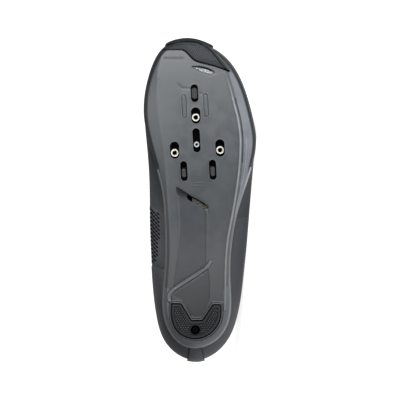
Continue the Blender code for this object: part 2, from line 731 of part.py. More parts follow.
def sole_cutters():
    cutters = []
    for name, row in zip(SLOT_ROWS, named(SLOT_COLUMNS, SLOT_ROWS.values())):
        centre = plan_point((row["out"], row["along"]))
        length, through = row["length"] * BALL_WIDTH, row["through"]
        wide = row["width"] * BALL_WIDTH if row["width"] else NUT_DIAMETER + 2.0 * SLOT_CLEARANCE
        under = bottom_height(centre.y)
        top = plateau_height(centre.y) + PLATE_THICKNESS if through else under + BLIND_DEPTH
        outline = stadium(centre, length, wide)
        cutters.append(plate("cut_" + name, outline, under - PLATE_THICKNESS, top))
        if not through:
            continue
        flange = CENTRE_FLANGE_DIAMETER if name == "centre" else NUT_FLANGE_DIAMETER
        pocket_width = flange + 2.0 * SLOT_CLEARANCE
        pocket = stadium(centre, length + pocket_width - wide, pocket_width)
        floor = plateau_height(centre.y) - FLANGE_SINK - NUT_FLANGE_THICKNESS - 2.0 * GAP
        cutters.append(plate("pocket_" + name, pocket, floor, top))
    for name, row in zip(GROOVE_ROWS, named(SLOT_COLUMNS, GROOVE_ROWS.values())):
        centre = plan_point((row["out"], row["along"]))
        outline = stadium(centre, row["length"] * BALL_WIDTH, row["width"] * BALL_WIDTH)
        under = bottom_height(centre.y)
        cutters.append(plate("cut_" + name, outline, under - PLATE_THICKNESS, under + GROOVE_DEPTH))
    cutters.append(panel_block("cut_arch_panel", ARCH_PANEL_ROWS, PANEL_DEPTH))
    cutters.append(panel_block("cut_heel_panel", HEEL_PANEL_ROWS, PANEL_DEPTH))
    for name, shares in (("toe_vent", TOE_VENT_OUTLINE), ("mid_vent", MID_VENT_OUTLINE)):
        outline = plan_outline(shares)
        middle = outline[:, 1].mean()
        cutters.append(
            plate("cut_" + name, outline, bottom_height(middle) - PLATE_THICKNESS, rim_height(middle) + CUP_DEPTH)
        )
    pad = grown(plan_outline(HEEL_PAD_OUTLINE), GAP)
    seat = heel_pad_seat()
    cutters.append(plate("cut_heel_pad", pad, seat - PLATE_THICKNESS, seat + GAP))
    low, slope, pivot = toe_pad_plane()
    pad = grown(plan_outline(TOE_PAD_OUTLINE), GAP)
    top = low + TOE_PAD_SEAT + GAP
    cutters.append(plate("cut_toe_pad", pad, top - 2.0 * PLATE_THICKNESS, top, slope=slope, pivot=pivot))
    hole = round_outline(plan_point(HEEL_SCREW_PLACE), SCREW_SHANK_DIAMETER + 2.0 * GAP)
    cutters.append(plate("cut_screw", hole, seat - PLATE_THICKNESS, seat + SCREW_GRIP + GAP))
    return cutters


def heel_pad_seat():
    rows = plan_outline(HEEL_PAD_OUTLINE)[:, 1]
    return bottom_height((rows.min() + rows.max()) / 2.0) + HEEL_PAD_SEAT


def toe_pad_plane():
    # Height, slope and pivot of the sole's bottom under the toe pad.
    rows = plan_outline(TOE_PAD_OUTLINE)[:, 1]
    back, front = rows.min(), rows.max()
    slope = (bottom_height(front) - bottom_height(back)) / (front - back)
    return bottom_height((back + front) / 2.0), slope, (back + front) / 2.0


def build_pads():
    rubber = material("black rubber", (0.018, 0.019, 0.021), 0.62)
    seat = heel_pad_seat()
    low = seat - HEEL_PAD_SEAT - HEEL_PAD_PROUD
    heel = plate("heel_pad", plan_outline(HEEL_PAD_OUTLINE), low, seat, rubber)
    place = plan_point(HEEL_SCREW_PLACE)
    head_top = low + SCREW_SINK + SCREW_HEAD_THICKNESS
    counterbore = round_outline(place, SCREW_HEAD_DIAMETER + 2.0 * SLOT_CLEARANCE)
    hole = round_outline(place, SCREW_SHANK_DIAMETER + 2.0 * GAP)
    cut(heel, plate("cut_screw_head", counterbore, low - PLATE_THICKNESS, head_top + GAP))
    cut(heel, plate("cut_screw_shank", hole, head_top, seat + PLATE_THICKNESS))
    toe_low, slope, pivot = toe_pad_plane()
    toe_rubber = material("toe rubber", (0.045, 0.052, 0.062), 0.55)
    plate(
        "toe_pad",
        plan_outline(TOE_PAD_OUTLINE),
        toe_low - TOE_PAD_PROUD,
        toe_low + TOE_PAD_SEAT,
        toe_rubber,
        slope,
        pivot,
    )
    build_heel_screw(place, low + SCREW_SINK, head_top, seat + SCREW_GRIP)


def build_heel_screw(place, low, head_top, tip):
    steel = material("blackened steel", (0.03, 0.03, 0.032), 0.3, 1.0)
    radius, shank = SCREW_HEAD_DIAMETER / 2.0, SCREW_SHANK_DIAMETER / 2.0
    socket = SCREW_SOCKET_DIAMETER / 2.0
    profile = [
        (0.0, tip),
        (shank, tip),
        (shank, head_top),
        (radius, head_top),
        (radius, low + SCREW_HEAD_CHAMFER),
        (radius - SCREW_HEAD_CHAMFER, low),
        (socket, low),
        (socket, low + SCREW_SOCKET_DEPTH),
        (0.0, low + SCREW_SOCKET_DEPTH),
    ]
    turned("heel_pad_screw", profile, place, steel, bored=False)


def build_nuts():
    steel = material("nickel plated steel", (0.62, 0.62, 0.6), 0.28, 1.0)
    for name, share in NUT_ROWS.items():
        place = plan_point(share)
        flanged_nut(name, place, NUT_DIAMETER, NUT_BORE, NUT_FLANGE_DIAMETER, steel)
    brass = material("nickel plated brass", (0.6, 0.62, 0.58), 0.3, 1.0)
    place = plan_point(CENTRE_NUT_PLACE)
    flanged_nut("centre_nut", place, CENTRE_NUT_DIAMETER, CENTRE_NUT_BORE, CENTRE_FLANGE_DIAMETER, brass)


def flanged_nut(name, place, diameter, bore, flange, surface):
    low = bottom_height(place.y) + NUT_RECESS
    top = plateau_height(place.y) - FLANGE_SINK
    flange_low = top - NUT_FLANGE_THICKNESS
    profile = [
        (flange / 2.0, top),
        (flange / 2.0, flange_low),
        (diameter / 2.0, flange_low),
        (diameter / 2.0, low + NUT_CHAMFER),
        (diameter / 2.0 - NUT_CHAMFER, low),
        (bore / 2.0 + NUT_CHAMFER, low),
        (bore / 2.0, low + NUT_CHAMFER),
        (bore / 2.0, top),
    ]
    turned(name, profile, place, surface, bored=True)


def build_vent_meshes():
    steel = material("woven steel mesh", (0.5, 0.5, 0.48), 0.4, 1.0)
    bronze = material("olive steel mesh", (0.3, 0.3, 0.24), 0.45, 1.0)
    for name, shares, surface in (
        ("toe_vent_mesh", TOE_VENT_OUTLINE, steel),
        ("mid_vent_mesh", MID_VENT_OUTLINE, bronze),
    ):
        outline = plan_outline(shares)
        middle = outline[:, 1].mean()
        front, back = outline[:, 1].max(), outline[:, 1].min()
        slope = (bottom_height(front) - bottom_height(back)) / (front - back)
        low = bottom_height(middle) + MESH_SINK
        plate(name, grown(outline, -GAP), low, low + MESH_THICKNESS, surface, slope, middle)


# Upper and what lies on it
def build_upper():
    surface = material("black microfibre", (0.032, 0.034, 0.037), 0.5)
    everywhere = np.arange(len(COLUMNS))
    steps = np.arange(len(WALL_STEPS))
    sheet("upper", last_at(everywhere, steps, 0.0), UPPER_WALL, False, surface, closed=True)


def patch(name, columns, steps, gap, thickness, surface):
    # An overlay over a block of the last's grid.
    return sheet(name, last_at(columns, steps, gap), thickness, True, surface)


def build_counter_and_strip():
    counter_surface = material("coated counter", (0.05, 0.052, 0.056), 0.42)
    lateral_front, medial_front = column_of(4.0), -column_of(3.0)
    counter_steps = np.arange(RIM_STEP + 1, WIDEST_STEP + 4)
    patch(
        "heel_counter",
        np.arange(medial_front, lateral_front + 1),
        counter_steps,
        GAP,
        COUNTER_THICKNESS,
        counter_surface,
    )
    strip_surface = material("heel strip", (0.045, 0.047, 0.05), 0.45)
    patch(
        "heel_strip",
        np.arange(-1, 2),
        np.arange(RIM_STEP + 1, TOP_STEP),
        GAP + COUNTER_THICKNESS + GAP,
        STRIP_THICKNESS,
        strip_surface,
    )


def build_toe_guard():
    # A bumper that fills the overhang above the rim and stands proud of the upper.
    surface = material("guard rubber", (0.02, 0.021, 0.023), 0.55)
    toe = column_of(LAST_ROW)
    steps = np.arange(RIM_STEP + 1, WIDEST_STEP + 3)
    rim = sole_edge()
    seat = sole_edge(RIM_WIDTH / 2.0)
    half = GUARD_THICKNESS / 2.0
    profiles = []
    for column in range(toe - STEPS_PER_ROW, toe + STEPS_PER_ROW + 1):
        low = rim_height(rim[column, 1]) + GAP
        inner = last_at([column], steps, GAP)[0]
        widest = LAST[column, WIDEST_STEP]
        outwards = LAST_NORMALS[column, WIDEST_STEP].copy()
        outwards[2] = 0.0
        proud = widest + outwards * (GAP + GUARD_THICKNESS)
        top = last_at([column], [WIDEST_STEP + 2], GAP + half)[0, 0]
        foot = np.array([*rim[column], low]) + outwards * half
        profiles.append([(*seat[column], low), *inner, top, proud, foot])
    swept("toe_guard", profiles, surface)


def rib(column, low_lateral, low_medial, outwards, bridge_steps):
    # One line over the foot: up the outer wall from a wall step, across the throat, and down the inner wall.
    other = twin(column)
    lateral = last_at([column], np.arange(low_lateral, TOP_STEP + 1), outwards)[0]
    medial = last_at([other], np.arange(low_medial, TOP_STEP + 1), outwards)[0][::-1]
    first, last = lateral[-1], medial[0]
    height = THROAT_CROWN * np.linalg.norm(last - first) / 2.0
    bridge = []
    for share in np.linspace(0.0, 1.0, bridge_steps + 1)[1:-1]:
        arch = np.array([0.0, 0.0, height * 4.0 * share * (1.0 - share)])
        bridge.append(first + (last - first) * share + arch)
    return np.concatenate([lateral, np.array(bridge), medial])


def build_tongue():
    surface = material("padded tongue", (0.03, 0.031, 0.034), 0.7)
    inwards = -(UPPER_WALL + TONGUE_CLEARANCE)
    ribs = []
    for column in range(column_of(LAST_ROW) - 1, column_of(4.0) - 1, -1):
        ribs.append(rib(column, TOP_STEP - 1, TOP_STEP - 1, inwards, BRIDGE_STEPS))
    count = len(ribs[0])
    across = np.linspace(-1.0, 1.0, count)
    for row in named(TONGUE_COLUMNS, TONGUE_ROWS):
        x = across * row["half"] * BALL_WIDTH
        fall = row["drop"] * COLLAR_HEIGHT * np.abs(across) ** TONGUE_ROUNDNESS
        y = row["along"] * SHOE_LENGTH + TONGUE_WRAP * fall
        ribs.append(np.stack([x, y, row["up"] * COLLAR_HEIGHT - fall], axis=1))
    points = np.array(ribs[::-1])
    sheet("tongue", points, TONGUE_THICKNESS, False, surface)


def build_straps():
    surface = material("strap microfibre", (0.036, 0.038, 0.042), 0.48)
    for name, (rear, front, lateral_down, medial_down) in STRAP_ROWS.items():
        ribs = [
            rib(column, TOP_STEP - lateral_down, TOP_STEP - medial_down, GAP, STRAP_BRIDGE_STEPS)
            for column in range(column_of(rear), column_of(front) + 1)
        ]
        sheet(name, np.array(ribs), STRAP_THICKNESS, True, surface)


def build_insole():
    surface = material("insole foam", (0.06, 0.062, 0.066), 0.85)
    inwards = RIM_WIDTH + GAP + UPPER_WALL + RIM_TUCK + INSOLE_CLEARANCE
    edge = sole_edge(inwards)
    low = plateau_height(edge[:, 1]) + GAP
    rings = [with_height(edge, low), with_height(edge, low + INSOLE_THICKNESS)]
    stack_of_rings("insole", rings, surface, INSOLE_COLUMNS)


# Laying the shoe down
def evaluated_points(graph, piece):
    evaluated = piece.evaluated_get(graph)
    mesh = evaluated.to_mesh()
    matrix = piece.matrix_world
    points = [matrix @ vertex.co for vertex in mesh.vertices]
    mesh.calc_loop_triangles()
    moment, volume = Vector(), 0.0
    for triangle in mesh.loop_triangles:
        a, b, c = (points[i] for i in triangle.vertices)
        share = a.dot(b.cross(c)) / 6.0
        volume += share
        moment += (a + b + c) * (share / 4.0)
    evaluated.to_mesh_clear()
    return points, moment, volume


def resting_matrix(pieces):
    # Turns the shoe onto its outer side, on a face of its hull that its centre of mass stands over.
    bpy.context.view_layer.update()
    graph = bpy.context.evaluated_depsgraph_get()
    hull = bmesh.new()
    moment, volume = Vector(), 0.0
    for piece in pieces:
        points, piece_moment, piece_volume = evaluated_points(graph, piece)
        moment += piece_moment
        volume += piece_volume
        for point in points:
            hull.verts.new(point)
    centre = moment / volume
    bmesh.ops.convex_hull(hull, input=hull.verts)
    hull.normal_update()
    normals = np.array([face.normal for face in hull.faces])
    depths = np.array([(face.verts[0].co - centre).dot(face.normal) for face in hull.faces])
    hull.free()
    # The shoe can rest on a face whose plane is the first that a line from the centre, square to it, comes to.
    facing = normals @ normals.T
    reach = np.where(facing > 0.0, depths[None, :] / np.maximum(facing, TINY), math.inf).min(axis=1)
    stable = depths <= reach + MERGE_DISTANCE
    outer = np.where(stable, -normals[:, 0], -1.0)
    up = -Vector(normals[np.argmax(outer)])
    toe = Vector((0.0, 1.0, 0.0))
    ahead = (toe - up * toe.dot(up)).normalized()
    side = up.cross(ahead)
    return Matrix((ahead, side, up)).to_4x4()


def lay_down(pieces):
    turn = resting_matrix(pieces)
    graph = bpy.context.evaluated_depsgraph_get()
    low = Vector((math.inf,) * 3)
    high = Vector((-math.inf,) * 3)
    for piece in pieces:
        for point in evaluated_points(graph, piece)[0]:
            moved = turn @ point
            low = Vector(map(min, low, moved))
            high = Vector(map(max, high, moved))
    centre = Vector(((low.x + high.x) / 2.0, (low.y + high.y) / 2.0, low.z))
    shoe = bpy.data.objects.new("shoe", None)
    PARTS.objects.link(shoe)
    shoe.matrix_world = Matrix.Translation(-centre) @ turn
    for item in list(PARTS.objects) + list(CUTTERS.objects):
        if item is not shoe:
            item.parent = shoe


clear_scene()
PARTS = new_collection("cycling_shoe")
CUTTERS = new_collection("cutters")
build_outsole()
build_pads()
build_nuts()
build_vent_meshes()
build_upper()
build_counter_and_strip()
build_toe_guard()
build_tongue()
build_straps()
build_insole()
lay_down([item for item in PARTS.objects if item.type == "MESH"])
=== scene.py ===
import json
import math

import bmesh
import bpy
import numpy as np
from mathutils import Matrix, Vector
from mathutils.geometry import delaunay_2d_cdt

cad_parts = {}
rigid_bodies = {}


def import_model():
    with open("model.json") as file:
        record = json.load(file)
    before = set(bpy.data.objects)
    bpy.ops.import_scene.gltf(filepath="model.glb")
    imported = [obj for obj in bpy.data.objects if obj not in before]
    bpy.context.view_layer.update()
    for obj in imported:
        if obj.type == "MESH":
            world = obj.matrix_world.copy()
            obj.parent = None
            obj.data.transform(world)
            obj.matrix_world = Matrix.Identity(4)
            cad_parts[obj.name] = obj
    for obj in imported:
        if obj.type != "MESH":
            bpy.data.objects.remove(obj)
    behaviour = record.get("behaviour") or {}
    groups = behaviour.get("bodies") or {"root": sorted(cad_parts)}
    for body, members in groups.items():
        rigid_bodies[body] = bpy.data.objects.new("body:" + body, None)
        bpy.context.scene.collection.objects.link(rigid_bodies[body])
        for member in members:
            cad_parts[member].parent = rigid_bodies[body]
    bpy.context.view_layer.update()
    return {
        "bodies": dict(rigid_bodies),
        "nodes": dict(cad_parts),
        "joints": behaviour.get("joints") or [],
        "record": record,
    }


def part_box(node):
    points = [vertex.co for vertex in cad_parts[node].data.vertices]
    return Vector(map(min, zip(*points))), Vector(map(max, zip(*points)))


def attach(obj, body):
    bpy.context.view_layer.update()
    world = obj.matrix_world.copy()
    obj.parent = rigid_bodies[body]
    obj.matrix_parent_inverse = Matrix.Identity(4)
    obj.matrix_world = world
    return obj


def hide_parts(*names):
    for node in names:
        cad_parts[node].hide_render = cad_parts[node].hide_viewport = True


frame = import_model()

# Cycling shoe for the left foot, lying on its outer side with its sole to the camera.
# Pieces are modelled upright in the shoe's own frame, in millimetres: x to the inner side, y to the toe,
# z up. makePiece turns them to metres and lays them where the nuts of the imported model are.

# The solids' sizes; the rows on the outer side are up to 2 mm fuller, to follow the photo's outline
shoe = {"length": 285.0, "ballWidth": 99.5, "collarHeight": 97.0, "gap": 0.3, "wall": 1.8}
soleForm = {
    "heelLift": 4.5, "archRise": 11.0, "toeSpring": 15.5, "plate": 5.8, "cup": 5.0,
    "rimWidth": 2.0, "rimTuck": 1.5, "rimDraft": 1.6, "bevelRise": 3.2, "margin": 7.0,
}
lastForm = {"lowerFullness": 1.5, "columnsPerRow": 16, "lowerSteps": 16, "upperSteps": 36}

# Rows from the heel's back to the toe's tip: shares of length, ball width and collar height, outer side first
lastRows = [
    (0.0082, 0.0, 0.0082, 0.0, 0.31), (0.053, 0.24, 0.053, 0.245, 0.31), (0.147, 0.362, 0.147, 0.346, 0.32),
    (0.298, 0.424, 0.298, 0.389, 0.335), (0.449, 0.473, 0.456, 0.407, 0.32),
    (0.551, 0.496, 0.561, 0.412, 0.275), (0.656, 0.514, 0.667, 0.433, 0.225),
    (0.754, 0.496, 0.765, 0.454, 0.215), (0.87, 0.386, 0.877, 0.417, 0.262),
    (0.957, 0.176, 0.962, 0.292, 0.315), (0.9918, -0.068, 0.9918, 0.068, 0.33),
]
# Along, out, along, out, up, fullness of the outer and inner wall, and ramp
toplineRows = [
    (0.034, 0.0, 0.034, 0.0, 1.0, 1.8, 1.8, 0.3), (0.058, 0.15, 0.058, 0.15, 0.99, 1.8, 1.8, 0.3),
    (0.142, 0.264, 0.142, 0.26, 0.88, 1.8, 1.8, 0.3), (0.28, 0.302, 0.28, 0.29, 0.69, 1.8, 1.8, 0.28),
    (0.396, 0.196, 0.396, 0.19, 0.905, 1.75, 1.95, 0.25), (0.492, 0.18, 0.492, 0.176, 0.848, 1.8, 2.0, 0.26),
    (0.587, 0.16, 0.587, 0.16, 0.765, 1.9, 2.05, 0.3), (0.664, 0.134, 0.664, 0.142, 0.698, 2.0, 2.1, 0.34),
    (0.711, 0.09, 0.711, 0.102, 0.655, 2.1, 2.15, 0.38), (0.729, 0.044, 0.729, 0.056, 0.638, 2.2, 2.2, 0.42),
    (0.733, -0.006, 0.733, 0.006, 0.634, 2.25, 2.25, 0.44),
]
soleRows = [
    (0.042, -0.005, 0.042, 0.005), (0.072, 0.196, 0.07, 0.188), (0.144, 0.303, 0.144, 0.289),
    (0.281, 0.305, 0.281, 0.279), (0.44, 0.355, 0.421, 0.277), (0.53, 0.43, 0.53, 0.303),
    (0.653, 0.526, 0.642, 0.388), (0.74, 0.51, 0.751, 0.458), (0.87, 0.398, 0.877, 0.422),
    (0.96, 0.188, 0.97, 0.285), (0.989, -0.068, 0.989, 0.068),
]
ridgeRows = [
    (0.062, -0.005, 0.062, 0.005), (0.085, 0.16, 0.085, 0.156), (0.144, 0.246, 0.144, 0.246),
    (0.281, 0.258, 0.281, 0.241), (0.41, 0.292, 0.414, 0.236), (0.505, 0.345, 0.519, 0.256),
    (0.628, 0.386, 0.64, 0.284), (0.725, 0.394, 0.75, 0.33), (0.853, 0.298, 0.877, 0.343),
    (0.945, 0.15, 0.956, 0.268), (0.978, -0.06, 0.978, 0.06),
]
# The bottom from the side: along, then shares of heelLift, archRise and toeSpring
profileRows = [
    (0.0, 1.8, 0.0, 0.0), (0.043, 1.45, 0.0, 0.0), (0.088, 1.05, 0.0, 0.0), (0.175, 1.0, 0.02, 0.0),
    (0.281, 0.6, 0.5, 0.0), (0.386, 0.2, 0.97, 0.0), (0.491, 0.0, 0.85, 0.0), (0.6, 0.0, 0.3, 0.0),
    (0.7, 0.0, 0.02, 0.0), (0.79, 0.0, 0.0, 0.07), (0.877, 0.0, 0.0, 0.34), (0.947, 0.0, 0.0, 0.7),
    (1.0, 0.0, 0.0, 1.04),
]
nutPlaces = {
    "cleat_nut_front": (0.0025, 0.753), "cleat_nut_medial": (0.1877, 0.6445),
    "cleat_nut_lateral": (-0.211, 0.6532), "centre_nut": (-0.0052, 0.6702),
}


# Curves
def splineThrough(knots, values, at, closed):
    # A cubic through the values, closed on itself or with free ends
    values = np.asarray(values, float)
    count = len(values)
    system = np.zeros((count, count))
    right = np.zeros((count, values.shape[1]))
    for i in range(count):
        if not closed and i in (0, count - 1):
            system[i, i] = 1.0
            continue
        before = knots[i] - knots[i - 1] if i else knots[count] - knots[count - 1]
        after = knots[i + 1] - knots[i]
        system[i, i - 1] += before
        system[i, i] += 2.0 * (before + after)
        system[i, (i + 1) % count] += after
        ahead, behind = values[(i + 1) % count] - values[i], values[i] - values[i - 1]
        right[i] = 6.0 * (ahead / after - behind / before)
    bend = np.linalg.solve(system, right)
    at = np.asarray(at, float)
    if closed:
        at = knots[0] + np.mod(at - knots[0], knots[count] - knots[0])
    place = np.clip(np.searchsorted(knots, at, side="right") - 1, 0, len(knots) - 2)
    width = (knots[place + 1] - knots[place])[:, None]
    left = (knots[place + 1] - at)[:, None]
    rest = (at - knots[place])[:, None]
    first, second = values[place], values[(place + 1) % count]
    bendFirst, bendSecond = bend[place], bend[(place + 1) % count]
    return (
        (bendFirst * left**3 + bendSecond * rest**3) / (6.0 * width)
        + (first / width - bendFirst * width / 6.0) * left
        + (second / width - bendSecond * width / 6.0) * rest
    )


def roundLoop(rows, lateral, medial):
    return np.array([lateral(row) for row in rows] + [medial(row) for row in rows[-2:0:-1]], float)


def outlineLoop(rows):
    wide, long = shoe["ballWidth"], shoe["length"]
    return roundLoop(rows, lambda r: (-r[1] * wide, r[0] * long), lambda r: (r[3] * wide, r[2] * long))


def runAlong(line):
    # How far each point of a line is from the line's start
    return np.concatenate([[0.0], np.cumsum(np.linalg.norm(np.diff(line, axis=0), axis=1))])


rowCount = len(lastRows)
loopKnots = runAlong(np.concatenate([outlineLoop(lastRows), outlineLoop(lastRows)[:1]]))
columnRows = np.arange(0.0, 2 * (rowCount - 1), 1.0 / lastForm["columnsPerRow"])
columnPlaces = np.interp(columnRows, np.arange(2 * rowCount - 1), loopKnots)


def onLoop(control, at=columnPlaces):
    return splineThrough(loopKnots, control, at, closed=True)


def offsetLine(line, distance, closed=True):
    # Moved to the right of its direction
    if closed:
        ahead = np.roll(line, -1, axis=0) - np.roll(line, 1, axis=0)
    else:
        ahead = np.gradient(line, axis=0)
    ahead = ahead / np.maximum(np.linalg.norm(ahead, axis=1), 1e-9)[:, None]
    return line + np.stack([ahead[:, 1], -ahead[:, 0]], axis=1) * distance


def bottomHeight(y):
    long = shoe["length"]
    places = np.array([row[0] * long for row in profileRows])
    sizes = (soleForm["heelLift"], soleForm["archRise"], soleForm["toeSpring"])
    heights = np.array([[sum(share * size for share, size in zip(row[1:], sizes))] for row in profileRows])
    return splineThrough(places, heights, np.ravel(y), closed=False)[:, 0].reshape(np.shape(y))


def bedHeight(y):
    return bottomHeight(y) + soleForm["plate"]


def rimHeight(y):
    return bedHeight(y) + soleForm["cup"]


def plateauHeight(y):
    return bedHeight(y) + shoe["gap"] + shoe["wall"]


def soleEdge(inwards=0.0, rows=soleRows):
    return offsetLine(onLoop(outlineLoop(rows)), inwards)


def raised(plan, height):
    return np.concatenate([plan, np.reshape(height, (-1, 1))], axis=1)


def planPlace(share):
    return np.array([share[0] * shoe["ballWidth"], share[1] * shoe["length"]])


def planOutline(shares):
    return np.array([planPlace(share) for share in shares])


# The last: the upper's outer surface, columns round the shoe by steps up the wall
def lastSurface(wallSteps):
    edge = soleEdge(soleForm["rimWidth"] + shoe["gap"])
    rim = raised(edge, rimHeight(edge[:, 1]))
    foot = soleEdge(soleForm["rimWidth"] + soleForm["rimTuck"] + shoe["gap"])
    corner = raised(foot, bedHeight(foot[:, 1]) + shoe["gap"])
    turned = soleEdge(soleForm["rimWidth"] + soleForm["rimTuck"] + soleForm["margin"])
    margin = raised(turned, bedHeight(turned[:, 1]) + shoe["gap"])
    tall = shoe["collarHeight"]
    up = lambda row: (row[4] * tall,)
    wide = np.concatenate([onLoop(outlineLoop(lastRows)), onLoop(roundLoop(lastRows, up, up))], axis=1)
    top = np.concatenate([onLoop(outlineLoop(toplineRows)), onLoop(roundLoop(toplineRows, up, up))], axis=1)
    form = onLoop(roundLoop(toplineRows, lambda r: (r[5], r[7]), lambda r: (r[6], r[7])))
    full, ramp = form[:, :1], form[:, 1:]
    lower = 2.0 / lastForm["lowerFullness"]
    rows = []
    for step in wallSteps:
        if step <= 1.0:
            rows.append(margin + (corner - margin) * step)
        elif step <= 2.0:
            rows.append(corner + (rim - corner) * (step - 1.0))
        elif step <= 3.0:
            angle = (step - 2.0) * math.pi / 2.0
            out, rise = math.sin(angle) ** lower, 1.0 - max(math.cos(angle), 0.0) ** lower
            rows.append(rim + (wide - rim) * np.array([out, out, rise]))
        else:
            angle = (step - 3.0) * math.pi / 2.0
            run = 1.0 - max(math.cos(angle), 0.0) ** (2.0 / full)
            rise = (1.0 - ramp) * math.sin(angle) ** (2.0 / full) + ramp * run
            rows.append(wide + (top - wide) * np.concatenate([run, run, rise], axis=1))
    return np.stack(rows, axis=1)


def surfaceNormals(grid, closed=True):
    if closed:
        around = np.roll(grid, -1, axis=0) - np.roll(grid, 1, axis=0)
    else:
        around = np.gradient(grid, axis=0)
    normals = np.cross(np.gradient(grid, axis=1), around)
    return normals / np.maximum(np.linalg.norm(normals, axis=2), 1e-9)[:, :, None]


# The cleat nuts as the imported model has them
nutSolid = {
    "aboveSole": 0.6, "underBed": 0.7, "flange": 5.5, "flangeHeight": 1.2, "sleeve": 3.6, "tip": 3.2,
    "chamfer": 0.4,
}


def nutHeights(place):
    low, top = float(bottomHeight(place[1])), float(plateauHeight(place[1]))
    return low + nutSolid["aboveSole"], top - nutSolid["underBed"]


def nutProfile(place):
    low, top = nutHeights(place)
    flange, sleeve, tip = nutSolid["flange"], nutSolid["sleeve"], nutSolid["tip"]
    under = top - nutSolid["flangeHeight"]
    return [(flange, top), (flange, under), (sleeve, under), (sleeve, low + nutSolid["chamfer"]), (tip, low)]


# Where the shoe lies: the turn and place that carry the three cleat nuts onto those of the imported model
def lyingMatrix():
    names = ("cleat_nut_lateral", "cleat_nut_medial", "cleat_nut_front")
    boxes = [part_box(name) for name in names]
    found = [(Vector(low) + Vector(high)) * 500.0 for low, high in boxes]
    places = [planPlace(nutPlaces[name]) for name in names]
    own = [Vector((*place, float(bottomHeight(place[1])))) for place in places]

    def axes(points):
        first = (points[1] - points[0]).normalized()
        third = first.cross(points[2] - points[0]).normalized()
        return Matrix((first, third.cross(first), third)).transposed()

    turn = axes(found) @ axes(own).transposed()
    ring = [
        turn @ Vector((r * math.cos(a), r * math.sin(a), z - float(bottomHeight(places[2][1]))))
        for r, z in nutProfile(places[2])
        for a in np.linspace(0.0, math.tau, 17)
    ]
    middle = Vector([(min(p[k] for p in ring) + max(p[k] for p in ring)) / 2.0 for k in range(3)])
    shift = (found[2] - middle - turn @ own[2]) * 0.001
    return Matrix.Translation(shift) @ turn.to_4x4()


shoeMatrix = lyingMatrix()
print("shoe lies at", [round(value, 5) for value in shoeMatrix.translation])


# How low the side it lies on reaches, and how softly the floor presses it flat, in metres
pressed = {"lowest": -0.0002, "softness": 0.0005}


def makePiece(name, verts, faces, materials, replaced=(), sharpAngle=35.0, faceSlots=None):
    # Verts in millimetres in the shoe's frame, laid down here
    placed = np.array([tuple(vert) for vert in verts], float) * 0.001
    placed = placed @ np.array(shoeMatrix.to_3x3()).T + np.array(shoeMatrix.translation)
    above = placed[:, 2] - pressed["lowest"]
    placed[:, 2] = pressed["lowest"] + (above + np.sqrt(above**2 + pressed["softness"]**2)) / 2.0
    mesh = bpy.data.meshes.new(name)
    mesh.from_pydata(placed.tolist(), [], faces)
    for material in materials:
        mesh.materials.append(material)
    if faceSlots is not None:
        mesh.polygons.foreach_set("material_index", faceSlots)
    joined = bmesh.new()
    joined.from_mesh(mesh)
    bmesh.ops.remove_doubles(joined, verts=joined.verts, dist=1e-6)
    joined.to_mesh(mesh)
    joined.free()
    mesh.shade_smooth()
    mesh.set_sharp_from_angle(angle=math.radians(sharpAngle))
    piece = bpy.data.objects.new(name, mesh)
    bpy.context.scene.collection.objects.link(piece)
    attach(piece, "root")
    if replaced:
        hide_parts(*replaced)


def gridFaces(columns, rows, closedColumns=False, closedRows=False):
    faces = []
    for i in range(columns if closedColumns else columns - 1):
        for j in range(rows if closedRows else rows - 1):
            here, across, up = i * rows, (i + 1) % columns * rows, (j + 1) % rows
            faces.append((here + j, here + up, across + up, across + j))
    return faces


def addWall(verts, faces, mouth, base):
    # Faces between two rings of equal count; gives the far ring's places, for a cap
    first, count = len(verts), len(mouth)
    verts += [tuple(point) for point in mouth] + [tuple(point) for point in base]
    for k in range(count):
        m = (k + 1) % count
        faces.append((first + k, first + m, first + count + m, first + count + k))
    return tuple(range(first + count, first + 2 * count))


# Colours and materials
def hexColour(text):
    # sRGB hex to linear
    parts = [int(text[i:i + 2], 16) / 255.0 for i in (1, 3, 5)]
    return tuple(c / 12.92 if c <= 0.04045 else ((c + 0.055) / 1.055) ** 2.4 for c in parts) + (1.0,)


def addNode(tree, kind, settings=None, links=None):
    # A node with its settings and links; a socket goes by its name or its number
    node = tree.nodes.new(kind)
    for key, value in (settings or {}).items():
        if isinstance(key, int) or (key in node.inputs and not hasattr(node, key)):
            node.inputs[key].default_value = value
        else:
            setattr(node, key, value)
    for socket, source in (links or {}).items():
        tree.links.new(source, node.inputs[socket])
    return node


def newMaterial(name, colour, roughness):
    material = bpy.data.materials.new(name)
    material.use_nodes = True
    tree = material.node_tree
    shader = tree.nodes["Principled BSDF"]
    shader.inputs["Base Color"].default_value = hexColour(colour)
    shader.inputs["Roughness"].default_value = roughness
    # Places are read in the shoe's own frame, in metres
    where = addNode(tree, "ShaderNodeTexCoord").outputs["Object"]
    back = shoeMatrix.inverted()
    moved = {"Rotation": back.to_euler(), "Location": back.translation}
    mapping = addNode(tree, "ShaderNodeMapping", moved, {"Vector": where})
    return material, tree, shader, mapping.outputs["Vector"]


# A colour mix, and the numbers of its two colours and of what comes out
colourMix = {"data_type": "RGBA"}
colourFirst, colourSecond, colourOut = 6, 7, 2


def rampedPlace(tree, place, axis, first, final):
    # A share that runs from 0 to 1 between two places on one axis of the shoe, in millimetres
    parts = addNode(tree, "ShaderNodeSeparateXYZ", links={"Vector": place})
    ramp = addNode(
        tree, "ShaderNodeMapRange", {"From Min": first * 0.001, "From Max": final * 0.001},
        {"Value": parts.outputs[axis]},
    )
    return ramp.outputs["Result"]


def perMetre(millimetres):
    # A texture's scale for a feature of this size
    return 1000.0 / millimetres


